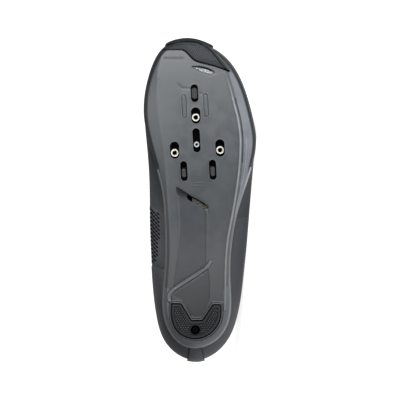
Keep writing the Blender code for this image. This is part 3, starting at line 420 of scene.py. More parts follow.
def mottled(tree, shader, place, light, dark, size):
    # Two tones in soft patches
    patches = addNode(tree, "ShaderNodeTexNoise", {"Scale": perMetre(size), "Detail": 3.0}, {"Vector": place})
    ramp = addNode(tree, "ShaderNodeValToRGB", links={"Fac": patches.outputs["Fac"]})
    for element, position, colour in zip(ramp.color_ramp.elements, (0.38, 0.64), (dark, light)):
        element.position, element.color = position, hexColour(colour)
    tree.links.new(ramp.outputs["Color"], shader.inputs["Base Color"])
    return ramp.outputs["Color"]


def grained(tree, shader, place, size, height):
    # Fine relief from noise of one size, height in millimetres
    grain = addNode(tree, "ShaderNodeTexNoise", {"Scale": perMetre(size), "Detail": 2.0}, {"Vector": place})
    relief = {"Strength": 1.0, "Distance": height * 0.001}
    bump = addNode(tree, "ShaderNodeBump", relief, {"Height": grain.outputs["Fac"]})
    tree.links.new(bump.outputs["Normal"], shader.inputs["Normal"])


nylonTones = {
    # Soft patches' light and dark, the tone towards the inner side, the tone of the heel, darker as painted
    # shade, and roughness
    "mouldedNylonSole": ("#4d5155", "#43474b", "#515557", "#292b2d", 0.4),
    # Paler: a painted highlight on the ridge's crest and on the side's lower steps
    "mouldedNylonRidge": ("#868a90", "#7c8086", "#7c8182", "#55585c", 0.36),
    # Paler: painted light on the outer bevel and along the heel's edge
    "mouldedNylonBevel": ("#6c7076", "#63676d", "#676b6d", "#404347", 0.38),
    # Paler: a painted highlight on raised lips, bars and tabs
    "mouldedNylonRim": ("#5f6367", "#56595d", "#5c6061", "#46494c", 0.42),
    # Darker: painted shade in the sunk panels
    "mouldedNylonPanel": ("#42474d", "#3b4046", "#404547", "#1b1c1e", 0.44),
    # Near black: painted shade in the grooves round the pads
    "mouldedNylonGroove": ("#0c0d0e", "#0a0b0c", "#0b0c0c", "#060607", 0.6),
    # Dark: painted shade on the sole's side walls and in the middle vent's ramp
    "mouldedNylonSide": ("#222528", "#1e2124", "#242727", "#1c1d1f", 0.5),
    # Dark: a band of painted shade along the forefoot's edge
    "mouldedNylonEdge": ("#25282c", "#303438", "#303436", "#202224", 0.45),
    # Grey for the plates in the blind slots, and painted shade along the crease by the ridge, in the grooves
    # and beside the heel pad's rim and the bar
    "mouldedNylonBacking": ("#2c2f33", "#282b2e", "#2b2d2d", "#1f2123", 0.55),
}


# Where its tone turns, along an axis in millimetres: towards the inner side, and into painted shade towards
# the heel and towards the toe
nylonTurns = {"inner": ("X", 12.0, 34.0), "heel": ("Y", 190.0, 40.0), "toeShade": ("Y", 222.0, 252.0)}


def mouldedNylon(name):
    # Glass-filled nylon, moulded: satin, with faint flow patches and a fine grain; painted shade darkens it
    # towards the heel and the toe
    light, dark, inner, heel, roughness = nylonTones[name]
    material, tree, shader, place = newMaterial(name, light, roughness)
    tone = mottled(tree, shader, place, light, dark, 11.0)
    # Towards the toe the ridge's painted highlight fades to the plain sole tone; the other slots take painted
    # shade there
    toeShade = nylonTones["mouldedNylonSole"][0] if name == "mouldedNylonRidge" else dark
    for turn, colour in zip(nylonTurns.values(), (inner, heel, toeShade)):
        share = rampedPlace(tree, place, *turn)
        blend = {**colourMix, colourSecond: hexColour(colour)}
        tone = addNode(tree, "ShaderNodeMix", blend, {"Factor": share, colourFirst: tone}).outputs[colourOut]
    tree.links.new(tone, shader.inputs["Base Color"])
    grained(tree, shader, place, 0.45, 0.03)
    if name in ("mouldedNylonGroove", "mouldedNylonSide"):
        shader.inputs["Specular IOR Level"].default_value = 0.2
    return material


# Sole
soleLook = {
    "gridStep": 2.0, "lineStep": 0.9, "slotFloor": 5.2, "blindFloor": 3.9, "ventFloor": 4.4,
    "slotChamfer": 0.4, "slotLean": 3.0, "grooveDepth": 0.8, "panelDepth": 0.6, "backingDepth": 2.4,
    "backingThickness": 0.6, "clear": 0.9, "lipRound": 0.35, "lipDrop": 0.3, "bedStep": 0.3,
    # paleSideTo: how far along the side's lower steps are painted paler, a painted highlight; heelBand: the
    # width of painted light along the heel's edge, up to heelBandTo
    "farthest": 12.0, "paleSideTo": 170.0, "heelBand": 5.4, "heelBandTo": 62.0,
    # The bevel beside the ridge, painted paler as light, the crease along it, painted dark as shade, and where
    # its crest fades towards the toe
    "bevelBand": (2.7, 24.0), "creaseSpan": (174.0, 232.0), "creaseAside": 2.2, "faintFrom": 229.0,
    "crestTo": 231.0, "innerRidgeRows": (12.0, 18.2),
    "padCorner": 1.0, "toePadCorner": 2.4, "ventCorner": 2.0,
    # How far in from the edge the band of painted shade starts, at each place along
    "edgeBand": [(0.0, -2.0), (158.0, -2.0), (172.0, 0.7), (200.0, 1.2), (250.0, 1.6), (285.0, 1.6)],
}
# Shares of a slot's width and length, and how far along it the plate sits
slotBackings = {
    "frontBlind": (0.72, 0.62, 0.0), "rearMedial": (0.58, 0.44, -0.08), "rearLateral": (0.6, 0.48, -0.07),
}
# Share of the way up the side, and how far the step is sunk there
rimSteps = [
    (0.04, -0.08), (0.1, -0.14), (0.22, -0.2), (0.42, -0.2), (0.46, 0.1), (0.5, 0.14), (0.54, 0.1),
    (0.58, -0.14), (0.78, -0.12), (0.92, -0.05), (0.98, 0.08),
]
# Faint moulded lines and two small raised marks, in millimetres
soleCreases = {
    "toeStep": [(28.0, 266.3), (20.0, 266.3), (12.3, 266.1)],
    "cleatBorderInner": [(15.8, 243.6), (13.6, 241.0), (11.2, 240.0), (4.8, 240.0)],
    "cleatBorderOuter": [(-2.8, 236.0), (-5.0, 235.2), (-8.5, 235.0)],
    "archEdge": [(-9.3, 140.0), (-10.2, 136.0), (-10.6, 130.0)],
}
soleTicks = {"length": 8.4, "rise": 0.2, "places": [(-2.8, 157.4), (-2.8, 154.9)]}
toePadOutline = planOutline([
    (0.254, 0.979), (0.154, 0.9868), (0.068, 0.9895), (0.001, 0.988), (-0.088, 0.9775), (-0.158, 0.96),
    (-0.22, 0.936), (-0.271, 0.9125), (-0.303, 0.896), (-0.158, 0.913), (-0.018, 0.9261), (0.014, 0.9308),
    (0.046, 0.9419), (0.091, 0.9577), (0.118, 0.9625), (0.28, 0.9622),
])
# The heel pad's rounded side from the inner arm to the outer one, then the notch between the arms
heelPadRound = planOutline([
    (0.212, 0.1789), (0.2125, 0.1614), (0.211, 0.1439), (0.2, 0.1249), (0.181, 0.1084), (0.152, 0.0951),
    (0.1176, 0.0863), (0.0714, 0.0793), (0.0131, 0.0758), (-0.0402, 0.0779), (-0.0804, 0.0832),
    (-0.1266, 0.093),
    (-0.1668, 0.1084), (-0.193, 0.1235), (-0.208, 0.1386), (-0.213, 0.1568), (-0.2141, 0.1758),
])
heelPadNotch = planOutline([(-0.1518, 0.1758), (-0.0613, 0.1277), (0.0452, 0.1267), (0.1357, 0.1789)])
toeVentOutline = planOutline([
    (0.043, 0.9107), (-0.044, 0.9104), (-0.112, 0.9039), (-0.168, 0.8915), (-0.133, 0.885), (-0.044, 0.8946),
])
# The middle vent's opening, and the ramp that leads into it from the inner side
midVentOutline = planOutline([
    (0.078, 0.5175), (0.03, 0.51), (-0.031, 0.499), (-0.095, 0.4842), (-0.114, 0.4745), (-0.086, 0.469),
    (-0.018, 0.4815), (0.036, 0.493), (0.082, 0.504),
])
ventRecess = planOutline([
    (0.178, 0.543), (0.062, 0.519), (0.045, 0.508), (0.104, 0.506), (0.158, 0.513), (0.174, 0.523),
])
archPanelOutline = planOutline([
    (0.158, 0.512), (0.142, 0.4068), (0.162, 0.34), (0.182, 0.29), (0.206, 0.224), (0.086, 0.2495),
    (-0.058, 0.282), (-0.0885, 0.295),
    (-0.0885, 0.469), (0.02, 0.493), (0.09, 0.5055),
])
heelPanelOutline = planOutline([
    (0.2225, 0.209), (0.175, 0.199), (0.1275, 0.193), (0.085, 0.164), (0.046, 0.139), (-0.046, 0.139),
    (-0.1222, 0.194), (-0.1222, 0.25), (-0.108, 0.293), (-0.058, 0.2795), (0.086, 0.2465), (0.185, 0.2235),
])
# Out, along, then length and width as shares of the ball width, and whether a nut slides in it
slotRows = {
    "frontNut": (0.0022, 0.759, 0.143, 0.0804, True), "centre": (-0.004, 0.6829, 0.212, 0.064, True),
    "medialNut": (0.1877, 0.6525, 0.149, 0.0804, True), "lateralNut": (-0.211, 0.6594, 0.151, 0.0804, True),
    "frontBlind": (0.0133, 0.8275, 0.155, 0.063, False), "rearMedial": (0.1063, 0.5882, 0.175, 0.059, False),
    "rearLateral": (-0.147, 0.5923, 0.176, 0.062, False),
}
grooveRows = [(0.1036, 0.787, 0.212, 0.046), (-0.0877, 0.7901, 0.212, 0.046)]


def roundedOutline(corners, radius, steps=5):
    # Corners replaced by soft curves
    points = []
    for before, corner, after in zip(np.roll(corners, 1, axis=0), corners, np.roll(corners, -1, axis=0)):
        ends = []
        for other in (before, after):
            length = np.linalg.norm(other - corner)
            ends.append(corner + (other - corner) * min(radius / length, 0.45))
        for t in np.linspace(0.0, 1.0, steps + 1):
            points.append(ends[0] * (1 - t) ** 2 + 2.0 * corner * t * (1 - t) + ends[1] * t**2)
    return np.array(points)


def slotOutline(row, steps=10):
    # Two half circles joined by straight sides, leaning to the inner side as the cleat does
    radius = row[3] * shoe["ballWidth"] / 2.0
    reach = row[2] * shoe["ballWidth"] / 2.0 - radius
    lean = math.radians(soleLook["slotLean"])
    points = []
    for end in (0, 1):
        for k in range(steps + 1):
            angle = math.pi * (end + k / steps)
            x, y = radius * math.cos(angle), radius * math.sin(angle) + reach * (1 - 2 * end)
            points.append((x * math.cos(lean) + y * math.sin(lean), -x * math.sin(lean) + y * math.cos(lean)))
    return np.array(points) + planPlace(row)


def spaced(line, step, closed=True):
    # Long stretches of a line divided evenly
    ends = np.roll(line, -1, axis=0) if closed else line[1:]
    points = []
    for first, last in zip(line, ends):
        count = max(1, math.ceil(np.linalg.norm(last - first) / step))
        points += [first + (last - first) * k / count for k in range(count)]
    if not closed:
        points.append(line[-1])
    return np.array(points)


def outset(outline, distance):
    # A closed line moved outwards
    after = np.roll(outline, -1, axis=0)
    windsLeft = np.sum(outline[:, 0] * after[:, 1] - after[:, 0] * outline[:, 1]) > 0
    return offsetLine(outline, distance if windsLeft else -distance)


def distanceTo(points, line, closed=True):
    start = line if closed else line[:-1]
    along = (np.roll(line, -1, axis=0) if closed else line[1:]) - start
    lengths = np.maximum((along**2).sum(axis=1), 1e-12)
    found = np.empty(len(points))
    for first in range(0, len(points), 3000):
        block = points[first:first + 3000, None, :] - start
        share = np.clip((block * along).sum(axis=2) / lengths, 0.0, 1.0)
        apart = block - share[:, :, None] * along
        found[first:first + 3000] = np.sqrt((apart**2).sum(axis=2)).min(axis=1)
    return found


def isInside(points, outline):
    x, y = points[:, 0], points[:, 1]
    inside = np.zeros(len(points), bool)
    for (x0, y0), (x1, y1) in zip(outline, np.roll(outline, -1, axis=0)):
        if y0 == y1:
            continue
        inside ^= ((y0 > y) != (y1 > y)) & (x < (x1 - x0) * (y - y0) / (y1 - y0) + x0)
    return inside


def signedDistance(points, outline):
    apart = distanceTo(points, outline)
    return np.where(isInside(points, outline), -apart, apart)


soleEdgeRing = soleEdge(soleForm["rimDraft"])
ridgeRing = soleEdge(rows=ridgeRows)


# Lines of the sole in millimetres: the outer ridge with its crest, a finer crest beside it, the bar that
# crosses the sole before the heel pad, the tabs at the bar's ends and the toe pad's rear
soleLines = {
    "ridge": [
        (-25.6, 256.0), (-27.5, 248.3), (-29.6, 241.5), (-31.5, 234.9), (-32.9, 228.1), (-34.6, 221.7),
        (-36.9, 212.0), (-38.2, 203.0), (-38.9, 194.0), (-38.8, 186.0), (-38.0, 171.9), (-36.4, 158.0),
        (-33.4, 138.3), (-30.3, 121.7), (-27.8, 107.5), (-26.3, 92.2), (-25.7, 76.0), (-25.5, 60.0),
        (-25.0, 46.0),
    ],
    "fineRidge": [
        (-44.0, 197.0), (-43.6, 182.0), (-41.0, 160.0), (-36.9, 142.4), (-32.5, 114.0), (-30.4, 89.5),
    ],
    "bar": [
        (-12.8, 88.2), (-10.4, 84.6), (-5.8, 80.7), (8.6, 71.4), (18.4, 64.8), (22.2, 61.4), (23.6, 58.4),
        (23.2, 54.6),
    ],
    "innerTab": [(22.6, 53.6), (13.6, 53.6)],
    "outerTab": [(-22.2, 52.6), (-15.0, 52.6)],
    "toePadRear": [
        (28.2, 274.3), (11.7, 274.4), (9.1, 272.9), (4.6, 268.4), (1.4, 265.3), (-1.8, 263.9), (-15.7, 260.3),
        (-28.9, 255.4),
    ],
}


def curved(points, step):
    # A smooth line through a few points
    points = np.array(points, float)
    run = runAlong(points)
    return splineThrough(run, points, np.linspace(0.0, run[-1], int(run[-1] / step) + 1), closed=False)


heelPadOutline = np.concatenate([curved(heelPadRound, 1.2), heelPadNotch])
# Tint slots of the sole: apart from the slots' shaded walls and the plates' grey, each paints light or shade
# on the one nylon: ridge, bevel and rim as highlights, panel, groove, side and edge as shade, and backing also
# as shade along lines
soleSlots = ["body", "deep", "side", "ridge", "groove", "panel", "backing", "bevel", "rim", "edge"]


def soleFeatures():
    # Each: a line, whether it closes, pairs of (distance from it, depth into the sole), and tinted bands,
    # which paint light and shade
    deep, groove = soleLook["panelDepth"], soleLook["grooveDepth"]
    ridge = curved(soleLines["ridge"], 1.6)
    ahead = ridge[:, 1]
    # Beyond the dark line beside the ridge lies a bevel painted paler as light; a band of painted shade runs
    # along the forefoot's edge
    near, far = [offsetLine(ridge, distance, False) for distance in soleLook["bevelBand"]]
    rear, front = soleLook["creaseSpan"]
    creaseLine = offsetLine(ridge[(ahead > rear) & (ahead < front)], soleLook["creaseAside"], False)
    fromToe = np.roll(soleEdgeRing, len(soleEdgeRing) // 2, axis=0)
    band = np.interp(soleEdgeRing[:, 1], *zip(*soleLook["edgeBand"]))[:, None]
    bandRing = soleEdgeRing + (outset(soleEdgeRing, -1.0) - soleEdgeRing) * band
    firstRow, lastRow = soleLook["innerRidgeRows"]
    innerRidge = ridgeRing[(columnRows >= firstRow) & (columnRows <= lastRow)]
    whole = -99.0
    features = [(np.concatenate([near, far[::-1]]), True, [], [(whole, 0.0, "bevel")])]
    # Inside the sunk panels the tone is darker, painted shade
    panels = ((archPanelOutline, 3.0, -0.15, 1.3), (heelPanelOutline, 2.4, -0.1, 1.2))
    for outline, corner, lip, end in panels:
        profile = [(-0.9, deep), (-0.1, 0.0), (0.5, lip), (end, 0.0)]
        features.append((roundedOutline(outline, corner), True, profile, [(whole, -0.5, "panel")]))
    features += [
        # The ramp into the middle vent, painted dark as shade
        (
            roundedOutline(ventRecess, 1.6), True, [(-2.4, 1.5), (-0.5, 0.7), (0.0, 0.0)],
            [(whole, -0.3, "side")],
        ),
        # A band of painted light along the heel's edge, in the bevel's tone
        (fromToe[fromToe[:, 1] < soleLook["heelBandTo"]], False, [], [(0.0, soleLook["heelBand"], "bevel")]),
        # Painted shade: a dark band just inside the forefoot's edge, and the side tone beyond the edge
        (bandRing, True, [], [(-0.9, 0.0, "edge"), (0.0, 99.0, "side")]),
        # Painted highlights along the ridge's crest, fainter towards the toe
        (
            ridge[ahead > soleLook["faintFrom"]], False, [(0.0, -0.25), (0.5, -0.2), (1.1, 0.0)],
            [(0.0, 0.7, "ridge")],
        ),
        (
            ridge[ahead < soleLook["crestTo"]], False, [(0.0, -0.75), (0.5, -0.65), (1.1, -0.1), (1.5, 0.0)],
            [(0.0, 0.8, "ridge")],
        ),
        # The crease beside the ridge, painted dark as shade
        (creaseLine, False, [(0.0, 0.5), (0.3, 0.45), (0.7, 0.0)], [(0.0, 0.36, "backing")]),
        # The finer crest, painted paler as a highlight
        (
            curved(soleLines["fineRidge"], 1.6), False, [(0.0, -0.4), (0.3, -0.3), (0.8, 0.0)],
            [(0.0, 0.3, "ridge")],
        ),
    ]
    # The tabs at the bar's ends, painted paler as a highlight
    for name in ("innerTab", "outerTab"):
        features.append((
            np.array(soleLines[name]), False, [(0.0, -0.5), (1.3, -0.5), (1.8, 0.0)], [(0.0, 1.5, "rim")],
        ))
    features += [
        # Round the heel pad: a groove painted near black as shade, a rim painted paler as a highlight, and a
        # line of painted shade outside it
        (
            roundedOutline(heelPadOutline, soleLook["padCorner"]), True,
            [(-0.6, 1.4), (0.75, 1.4), (1.0, -0.2), (1.4, -0.6), (1.9, -0.5), (2.4, 0.2), (3.2, 0.0)],
            [(whole, 0.95, "groove"), (0.95, 2.1, "rim"), (2.1, 2.7, "backing")],
        ),
        # The bar: painted paler as a highlight, with a line of painted shade beside it
        (
            curved(soleLines["bar"], 1.4), False, [(0.0, -0.35), (1.4, -0.35), (1.85, 0.3), (2.5, 0.0)],
            [(0.0, 1.5, "rim"), (1.7, 2.1, "backing")],
        ),
        # The groove round the toe pad, painted near black as shade
        (
            roundedOutline(toePadOutline, soleLook["toePadCorner"]), True,
            [(-0.6, 1.5), (0.1, 1.5), (0.4, 0.1), (1.2, 0.0)], [(whole, 0.3, "groove")],
        ),
        # The groove along the toe pad's rear, painted near black as shade
        (
            curved(soleLines["toePadRear"], 1.2), False, [(0.0, 1.2), (0.85, 1.2), (1.1, 0.0), (1.5, 0.0)],
            [(0.0, 1.0, "groove")],
        ),
    ]
    # Each groove: painted shade inside its wall and a painted highlight on its lip
    for row in grooveRows:
        profile = [(-1.2, groove * 0.8), (-0.7, groove), (-0.3, groove), (0.0, 0.0), (0.5, -0.12), (0.9, 0.0)]
        features.append((slotOutline(row), True, profile, [(-0.75, -0.3, "backing"), (0.05, 0.5, "rim")]))
    # Each slot: a painted highlight on its lip
    for row in slotRows.values():
        profile = [(0.0, 0.35), (soleLook["slotChamfer"], -0.12), (0.9, 0.0)]
        features.append((slotOutline(row), True, profile, [(0.1, 0.55, "rim")]))
    for outline in (toeVentOutline, midVentOutline):
        vent = roundedOutline(outline, soleLook["ventCorner"])
        features.append((vent, True, [(0.0, 0.5), (0.8, 0.0)], []))
    features.append((innerRidge, False, [(0.0, -0.15), (1.2, 0.0)], []))
    for line in soleCreases.values():
        line = spaced(np.array(line, float), 1.5, False)
        features.append((line, False, [(0.0, 0.35), (0.35, 0.25), (0.9, 0.0)], []))
    # Two raised marks, painted paler as a highlight
    half, rise = soleTicks["length"] / 2.0, soleTicks["rise"]
    for middle in soleTicks["places"]:
        line = np.array([(middle[0] - half, middle[1] - rise), (middle[0] + half, middle[1] + rise)])
        features.append((line, False, [(0.0, -0.35), (0.3, -0.3), (0.55, 0.0)], [(0.0, 0.22, "rim")]))
    return features


def featureDistance(points, line, closed):
    return signedDistance(points, line) if closed else distanceTo(points, line, False)


def soleDepth(points, features):
    # How far the bottom lies above the sole's profile at each place
    toRidge, toEdge = signedDistance(points, ridgeRing), distanceTo(points, soleEdgeRing)
    share = np.clip(toRidge, 0.0, None) / np.maximum(np.clip(toRidge, 0.0, None) + toEdge, 1e-6)
    depth = soleForm["bevelRise"] * (0.84 * share + 0.16 * share**6)
    for line, closed, profile, _ in features:
        if profile:
            depth += np.interp(featureDistance(points, line, closed), *zip(*profile))
    return depth


def soleTint(points, features):
    # The slot of each place, and so its painted light or shade: a later feature's band lies over an earlier
    # one's
    tint = np.zeros(len(points), int)
    for line, closed, _, bands in features:
        if bands:
            apart = featureDistance(points, line, closed)
            for low, high, slot in bands:
                tint[(apart >= low) & (apart < high)] = soleSlots.index(slot)
    return tint


def soleHoles():
    # Outline and how deep its floor lies
    floors = {True: soleLook["slotFloor"], False: soleLook["blindFloor"]}
    holes = [(slotOutline(row), floors[row[4]]) for row in slotRows.values()]
    for outline in (toeVentOutline, midVentOutline):
        holes.append((spaced(roundedOutline(outline, soleLook["ventCorner"]), 1.2), soleLook["ventFloor"]))
    return holes


def planMesh(outer, holes, lines, step, clear):
    # A plan cut into small faces along its lines, with an even grid between them
    points, edges = [], []
    for line, closed in [(outer, True)] + [(hole, True) for hole in holes] + lines:
        inner = np.ones(len(line), bool) if line is outer else signedDistance(line, outer) < -clear / 2.0
        index = [len(points) + int(np.sum(inner[:k])) for k in range(len(line))]
        points += [tuple(p) for p, keep in zip(line, inner) if keep]
        for k in range(len(line) if closed else len(line) - 1):
            m = (k + 1) % len(line)
            if inner[k] and inner[m]:
                edges.append((index[k], index[m]))
    low, high = outer.min(axis=0), outer.max(axis=0)
    rows = np.arange(low[1] + step / 2, high[1], step * 0.87)
    across = np.arange(low[0], high[0], step)
    grid = np.array([(x + step / 2 * (k % 2), y) for k, y in enumerate(rows) for x in across])
    grid = grid[signedDistance(grid, outer) < -step * 0.6]
    near = np.full(len(grid), 9.0)
    for line, closed in [(hole, True) for hole in holes] + lines:
        near = np.minimum(near, distanceTo(grid, line, closed))
    points += [tuple(p) for p in grid[near > step * 0.4]]
    flat, _, faces, _, _, _ = delaunay_2d_cdt([Vector(p) for p in points], edges, [], 0, 1e-5)
    flat = np.array([tuple(p) for p in flat])
    centres = np.array([flat[list(face)].mean(axis=0) for face in faces])
    keep = isInside(centres, outer)
    for hole in holes:
        keep &= ~isInside(centres, hole)
    return flat, [tuple(face) for face, kept in zip(faces, keep) if kept], centres[keep]


def buildSole(materials):
    features, holes = soleFeatures(), soleHoles()
    lines = []
    for line, closed, profile, bands in features:
        line = spaced(line, soleLook["lineStep"], closed)
        distances = {pair[0] for pair in profile} | {end for band in bands for end in band[:2]}
        for distance in sorted(distances):
            if abs(distance) > soleLook["farthest"]:
                continue
            if closed:
                lines.append((outset(line, distance), True))
            else:
                lines += [(offsetLine(line, end, False), False) for end in {distance, -distance}]
    outlines = [outline for outline, _ in holes]
    flat, faces, centres = planMesh(soleEdgeRing, outlines, lines, soleLook["gridStep"], soleLook["clear"])
    verts = raised(flat, bottomHeight(flat[:, 1]) + soleDepth(flat, features))

    # Rim: up the side with its moulded steps, over the lip, down into the cup and across the bed
    sole = bmesh.new()
    bottom = [sole.verts.new(vert) for vert in verts]
    for face, slot in zip(faces, soleTint(centres, features)):
        sole.faces.new([bottom[k] for k in face]).material_index = int(slot)
    edge = raised(soleEdgeRing, bottomHeight(soleEdgeRing[:, 1]) + soleDepth(soleEdgeRing, features))
    rings = [edge]
    for share, sink in rimSteps:
        ring = soleEdge(soleForm["rimDraft"] * (1.0 - share) + sink)
        low = bottomHeight(ring[:, 1]) + soleForm["bevelRise"]
        rings.append(raised(ring, low + (rimHeight(ring[:, 1]) - low) * share))
    width, tuck, lip = soleForm["rimWidth"], soleForm["rimTuck"], soleLook["lipRound"]
    for inwards, drop in ((lip, 0.0), (width - lip, 0.0), (width, soleLook["lipDrop"])):
        ring = soleEdge(inwards)
        rings.append(raised(ring, rimHeight(ring[:, 1]) - drop))
    step = width + tuck + soleForm["margin"] + shoe["gap"]
    inner = step + soleLook["bedStep"]
    for inwards, height in ((width + tuck, bedHeight), (step, bedHeight), (inner, plateauHeight)):
        ring = soleEdge(inwards)
        rings.append(raised(ring, height(ring[:, 1])))
    stack = [[sole.verts.new(point) for point in ring] for ring in rings]
    count = len(edge)
    for level, (lower, upper) in enumerate(zip(stack, stack[1:])):
        for i in range(count):
            face = sole.faces.new((lower[i], upper[i], upper[(i + 1) % count], lower[(i + 1) % count]))
            # The side's lower steps towards the heel take the ridge's paler tone, a painted highlight;
            # elsewhere the side and lip take the dark side tone, painted shade
            paleSide = level < len(rimSteps) and soleEdgeRing[i, 1] < soleLook["paleSideTo"]
            face.material_index = soleSlots.index("ridge" if paleSide else "side")
    inner = stack[-1]
    sole.faces.new((inner[0], inner[1], inner[count - 1]))
    for i in range(1, count // 2 - 1):
        sole.faces.new((inner[i], inner[i + 1], inner[count - i - 1], inner[count - i]))
    sole.faces.new((inner[count // 2 - 1], inner[count // 2], inner[count // 2 + 1]))

    # Slots and vents: walls and a dark floor
    dark = set()
    for outline, floor in holes:
        depth = soleDepth(outline, features)
        mouth = [sole.verts.new(p) for p in raised(outline, bottomHeight(outline[:, 1]) + depth)]
        level = float(bottomHeight(outline[:, 1].mean())) + floor
        base = [sole.verts.new((p[0], p[1], level)) for p in outline]
        for i in range(len(outline)):
            m = (i + 1) % len(outline)
            dark.add(sole.faces.new((mouth[i], base[i], base[m], mouth[m])))
        dark.add(sole.faces.new(base))
    for face in dark:
        face.material_index = soleSlots.index("deep")

    # Grey backing plates part of the way down the blind slots
    for name, (wide, long, shift) in slotBackings.items():
        outline = slotOutline(slotRows[name])
        middle = outline.mean(axis=0)
        plan = middle + (outline - middle) * (wide, long) + (0.0, np.ptp(outline[:, 1]) * shift)
        level = float(bottomHeight(middle[1])) + soleLook["backingDepth"]
        face = sole.faces.new([sole.verts.new((p[0], p[1], level)) for p in plan])
        solid = bmesh.ops.extrude_face_region(sole, geom=[face])
        moved = [item for item in solid["geom"] if isinstance(item, bmesh.types.BMVert)]
        bmesh.ops.translate(sole, verts=moved, vec=(0.0, 0.0, soleLook["backingThickness"]))
        for item in [face] + [item for item in solid["geom"] if isinstance(item, bmesh.types.BMFace)]:
            item.material_index = soleSlots.index("backing")
    bmesh.ops.remove_doubles(sole, verts=sole.verts, dist=0.0005)
    bmesh.ops.recalc_face_normals(sole, faces=sole.faces)
    bmesh.ops.triangulate(sole, faces=[face for face in sole.faces if len(face.verts) > 4])
    sole.verts.index_update()
    makePiece(
        "sole", [vert.co for vert in sole.verts], [[v.index for v in face.verts] for face in sole.faces],
        materials, ["outsole"], 32.0, [face.material_index for face in sole.faces],
    )
    sole.free()


# Upper: the last as a dense grid, and places on it by row round the shoe and wall step
wallSteps = np.concatenate([
    np.linspace(0.0, 1.0, 5)[:-1], np.linspace(1.0, 2.0, 5)[:-1],
    np.linspace(2.0, 3.0, lastForm["lowerSteps"] + 1)[:-1], np.linspace(3.0, 4.0, lastForm["upperSteps"] + 1),
])
# Soft troughs where the forefoot bends and at the ankle: two ends in millimetres, half width, depth
creases = [
    ((-34.0, 205.0, 40.0), (-8.0, 216.0, 55.0), 2.6, 0.55),
    ((6.0, 215.0, 56.0), (36.0, 208.0, 42.0), 2.8, 0.5),
    ((-40.0, 194.0, 34.0), (-22.0, 199.0, 50.0), 2.2, 0.4),
    ((24.0, 200.0, 50.0), (40.0, 196.0, 36.0), 2.4, 0.4),
    ((-36.0, 92.0, 52.0), (-30.0, 78.0, 62.0), 3.0, 0.6),
    ((36.0, 96.0, 50.0), (30.0, 80.0, 62.0), 3.0, 0.6),
    ((-40.0, 62.0, 44.0), (-34.0, 74.0, 58.0), 3.4, 0.45),
    ((38.0, 60.0, 46.0), (33.0, 72.0, 58.0), 3.4, 0.45),
    ((-42.0, 118.0, 40.0), (-33.0, 112.0, 56.0), 3.0, 0.35),
    ((40.0, 122.0, 42.0), (33.0, 114.0, 58.0), 3.0, 0.35),
]


def creased(grid, normals):
    for first, last, width, depth in creases:
        start, along = np.array(first), np.array(last) - np.array(first)
        share = np.clip(((grid - start) @ along) / (along @ along), 0.0, 1.0)
        apart = np.linalg.norm(grid - start - share[..., None] * along, axis=2) / width
        fade = np.sin(math.pi * np.clip(share * 0.9 + 0.05, 0.0, 1.0)) ** 0.7
        shape = -depth * np.exp(-(apart**2)) + 0.35 * depth * np.exp(-((apart - 2.0) ** 2))
        grid = grid + normals * (shape * fade)[..., None]
    return grid


plainLast = lastSurface(wallSteps)
last = creased(plainLast, surfaceNormals(plainLast))
lastNormals = surfaceNormals(last)


def cubicShares(rest):
    return (
        -0.5 * rest + rest**2 - 0.5 * rest**3, 1.0 - 2.5 * rest**2 + 1.5 * rest**3,
        0.5 * rest + 2.0 * rest**2 - 1.5 * rest**3, -0.5 * rest**2 + 0.5 * rest**3,
    )


def sampled(grid, first, second, wraps):
    # A smooth reading of a grid at real indexes
    low, left = np.floor(first).astype(int), np.floor(second).astype(int)
    total = 0.0
    for a, shareA in enumerate(cubicShares(first - low)):
        i = (low + a - 1) % grid.shape[0] if wraps else np.clip(low + a - 1, 0, grid.shape[0] - 1)
        for b, shareB in enumerate(cubicShares(second - left)):
            j = np.clip(left + b - 1, 0, grid.shape[1] - 1)
            total = total + (shareA * shareB)[..., None] * grid[i, j]
    return total


def lastAt(rows, steps, outwards=0.0):
    # Rows 0 heel to 10 toe round the outer side, on to 20 by the inner side; steps 2 rim, 3 widest, 4 topline
    rows, steps = np.broadcast_arrays(np.asarray(rows, float), np.asarray(steps, float))
    places = np.interp(steps, wallSteps, np.arange(len(wallSteps)))
    columns = rows * lastForm["columnsPerRow"]
    point = sampled(last, columns, places, True)
    normal = sampled(lastNormals, columns, places, True)
    normal /= np.linalg.norm(normal, axis=-1)[..., None]
    return point + normal * np.asarray(outwards)[..., None]


def spread(length, step, edge):
    # Shares of a length at even steps, closer together near both ends where an edge is rounded
    soft = edge * np.array([0.0, 0.1, 0.34, 0.66]) / length
    count = max(2, int(round((length - 2.0 * edge) / step)))
    middle = np.linspace(edge / length, 1.0 - edge / length, count + 1)
    return np.concatenate([soft, middle, 1.0 - soft[::-1]])


def borderDistance(grid):
    # How far each place of a sheet is from the sheet's nearest edge
    found = np.full(grid.shape[:2], 1e6)
    for axis in (0, 1):
        steps = np.linalg.norm(np.diff(grid, axis=axis), axis=2)
        zero = np.zeros_like(steps[:1]) if axis == 0 else np.zeros_like(steps[:, :1])
        run = np.concatenate([zero, np.cumsum(steps, axis=axis)], axis=axis)
        total = run[-1:] if axis == 0 else run[:, -1:]
        found = np.minimum(found, np.minimum(run, total - run))
    return found


def pillowed(middle, thickness, rounding):
    # A closed sheet with rounded edges about a middle surface
    normals = surfaceNormals(middle, closed=False)
    near = np.clip(borderDistance(middle) / rounding, 0.0, 1.0)
    half = thickness / 2.0 * np.sqrt(np.clip(1.0 - (1.0 - near) ** 2, 0.0, 1.0))
    outer, inner = middle + normals * half[..., None], middle - normals * half[..., None]
    columns, rows = middle.shape[:2]
    faces = gridFaces(columns, rows)
    faces += [tuple(reversed([k + columns * rows for k in face])) for face in faces]
    return np.concatenate([outer.reshape(-1, 3), inner.reshape(-1, 3)]), faces


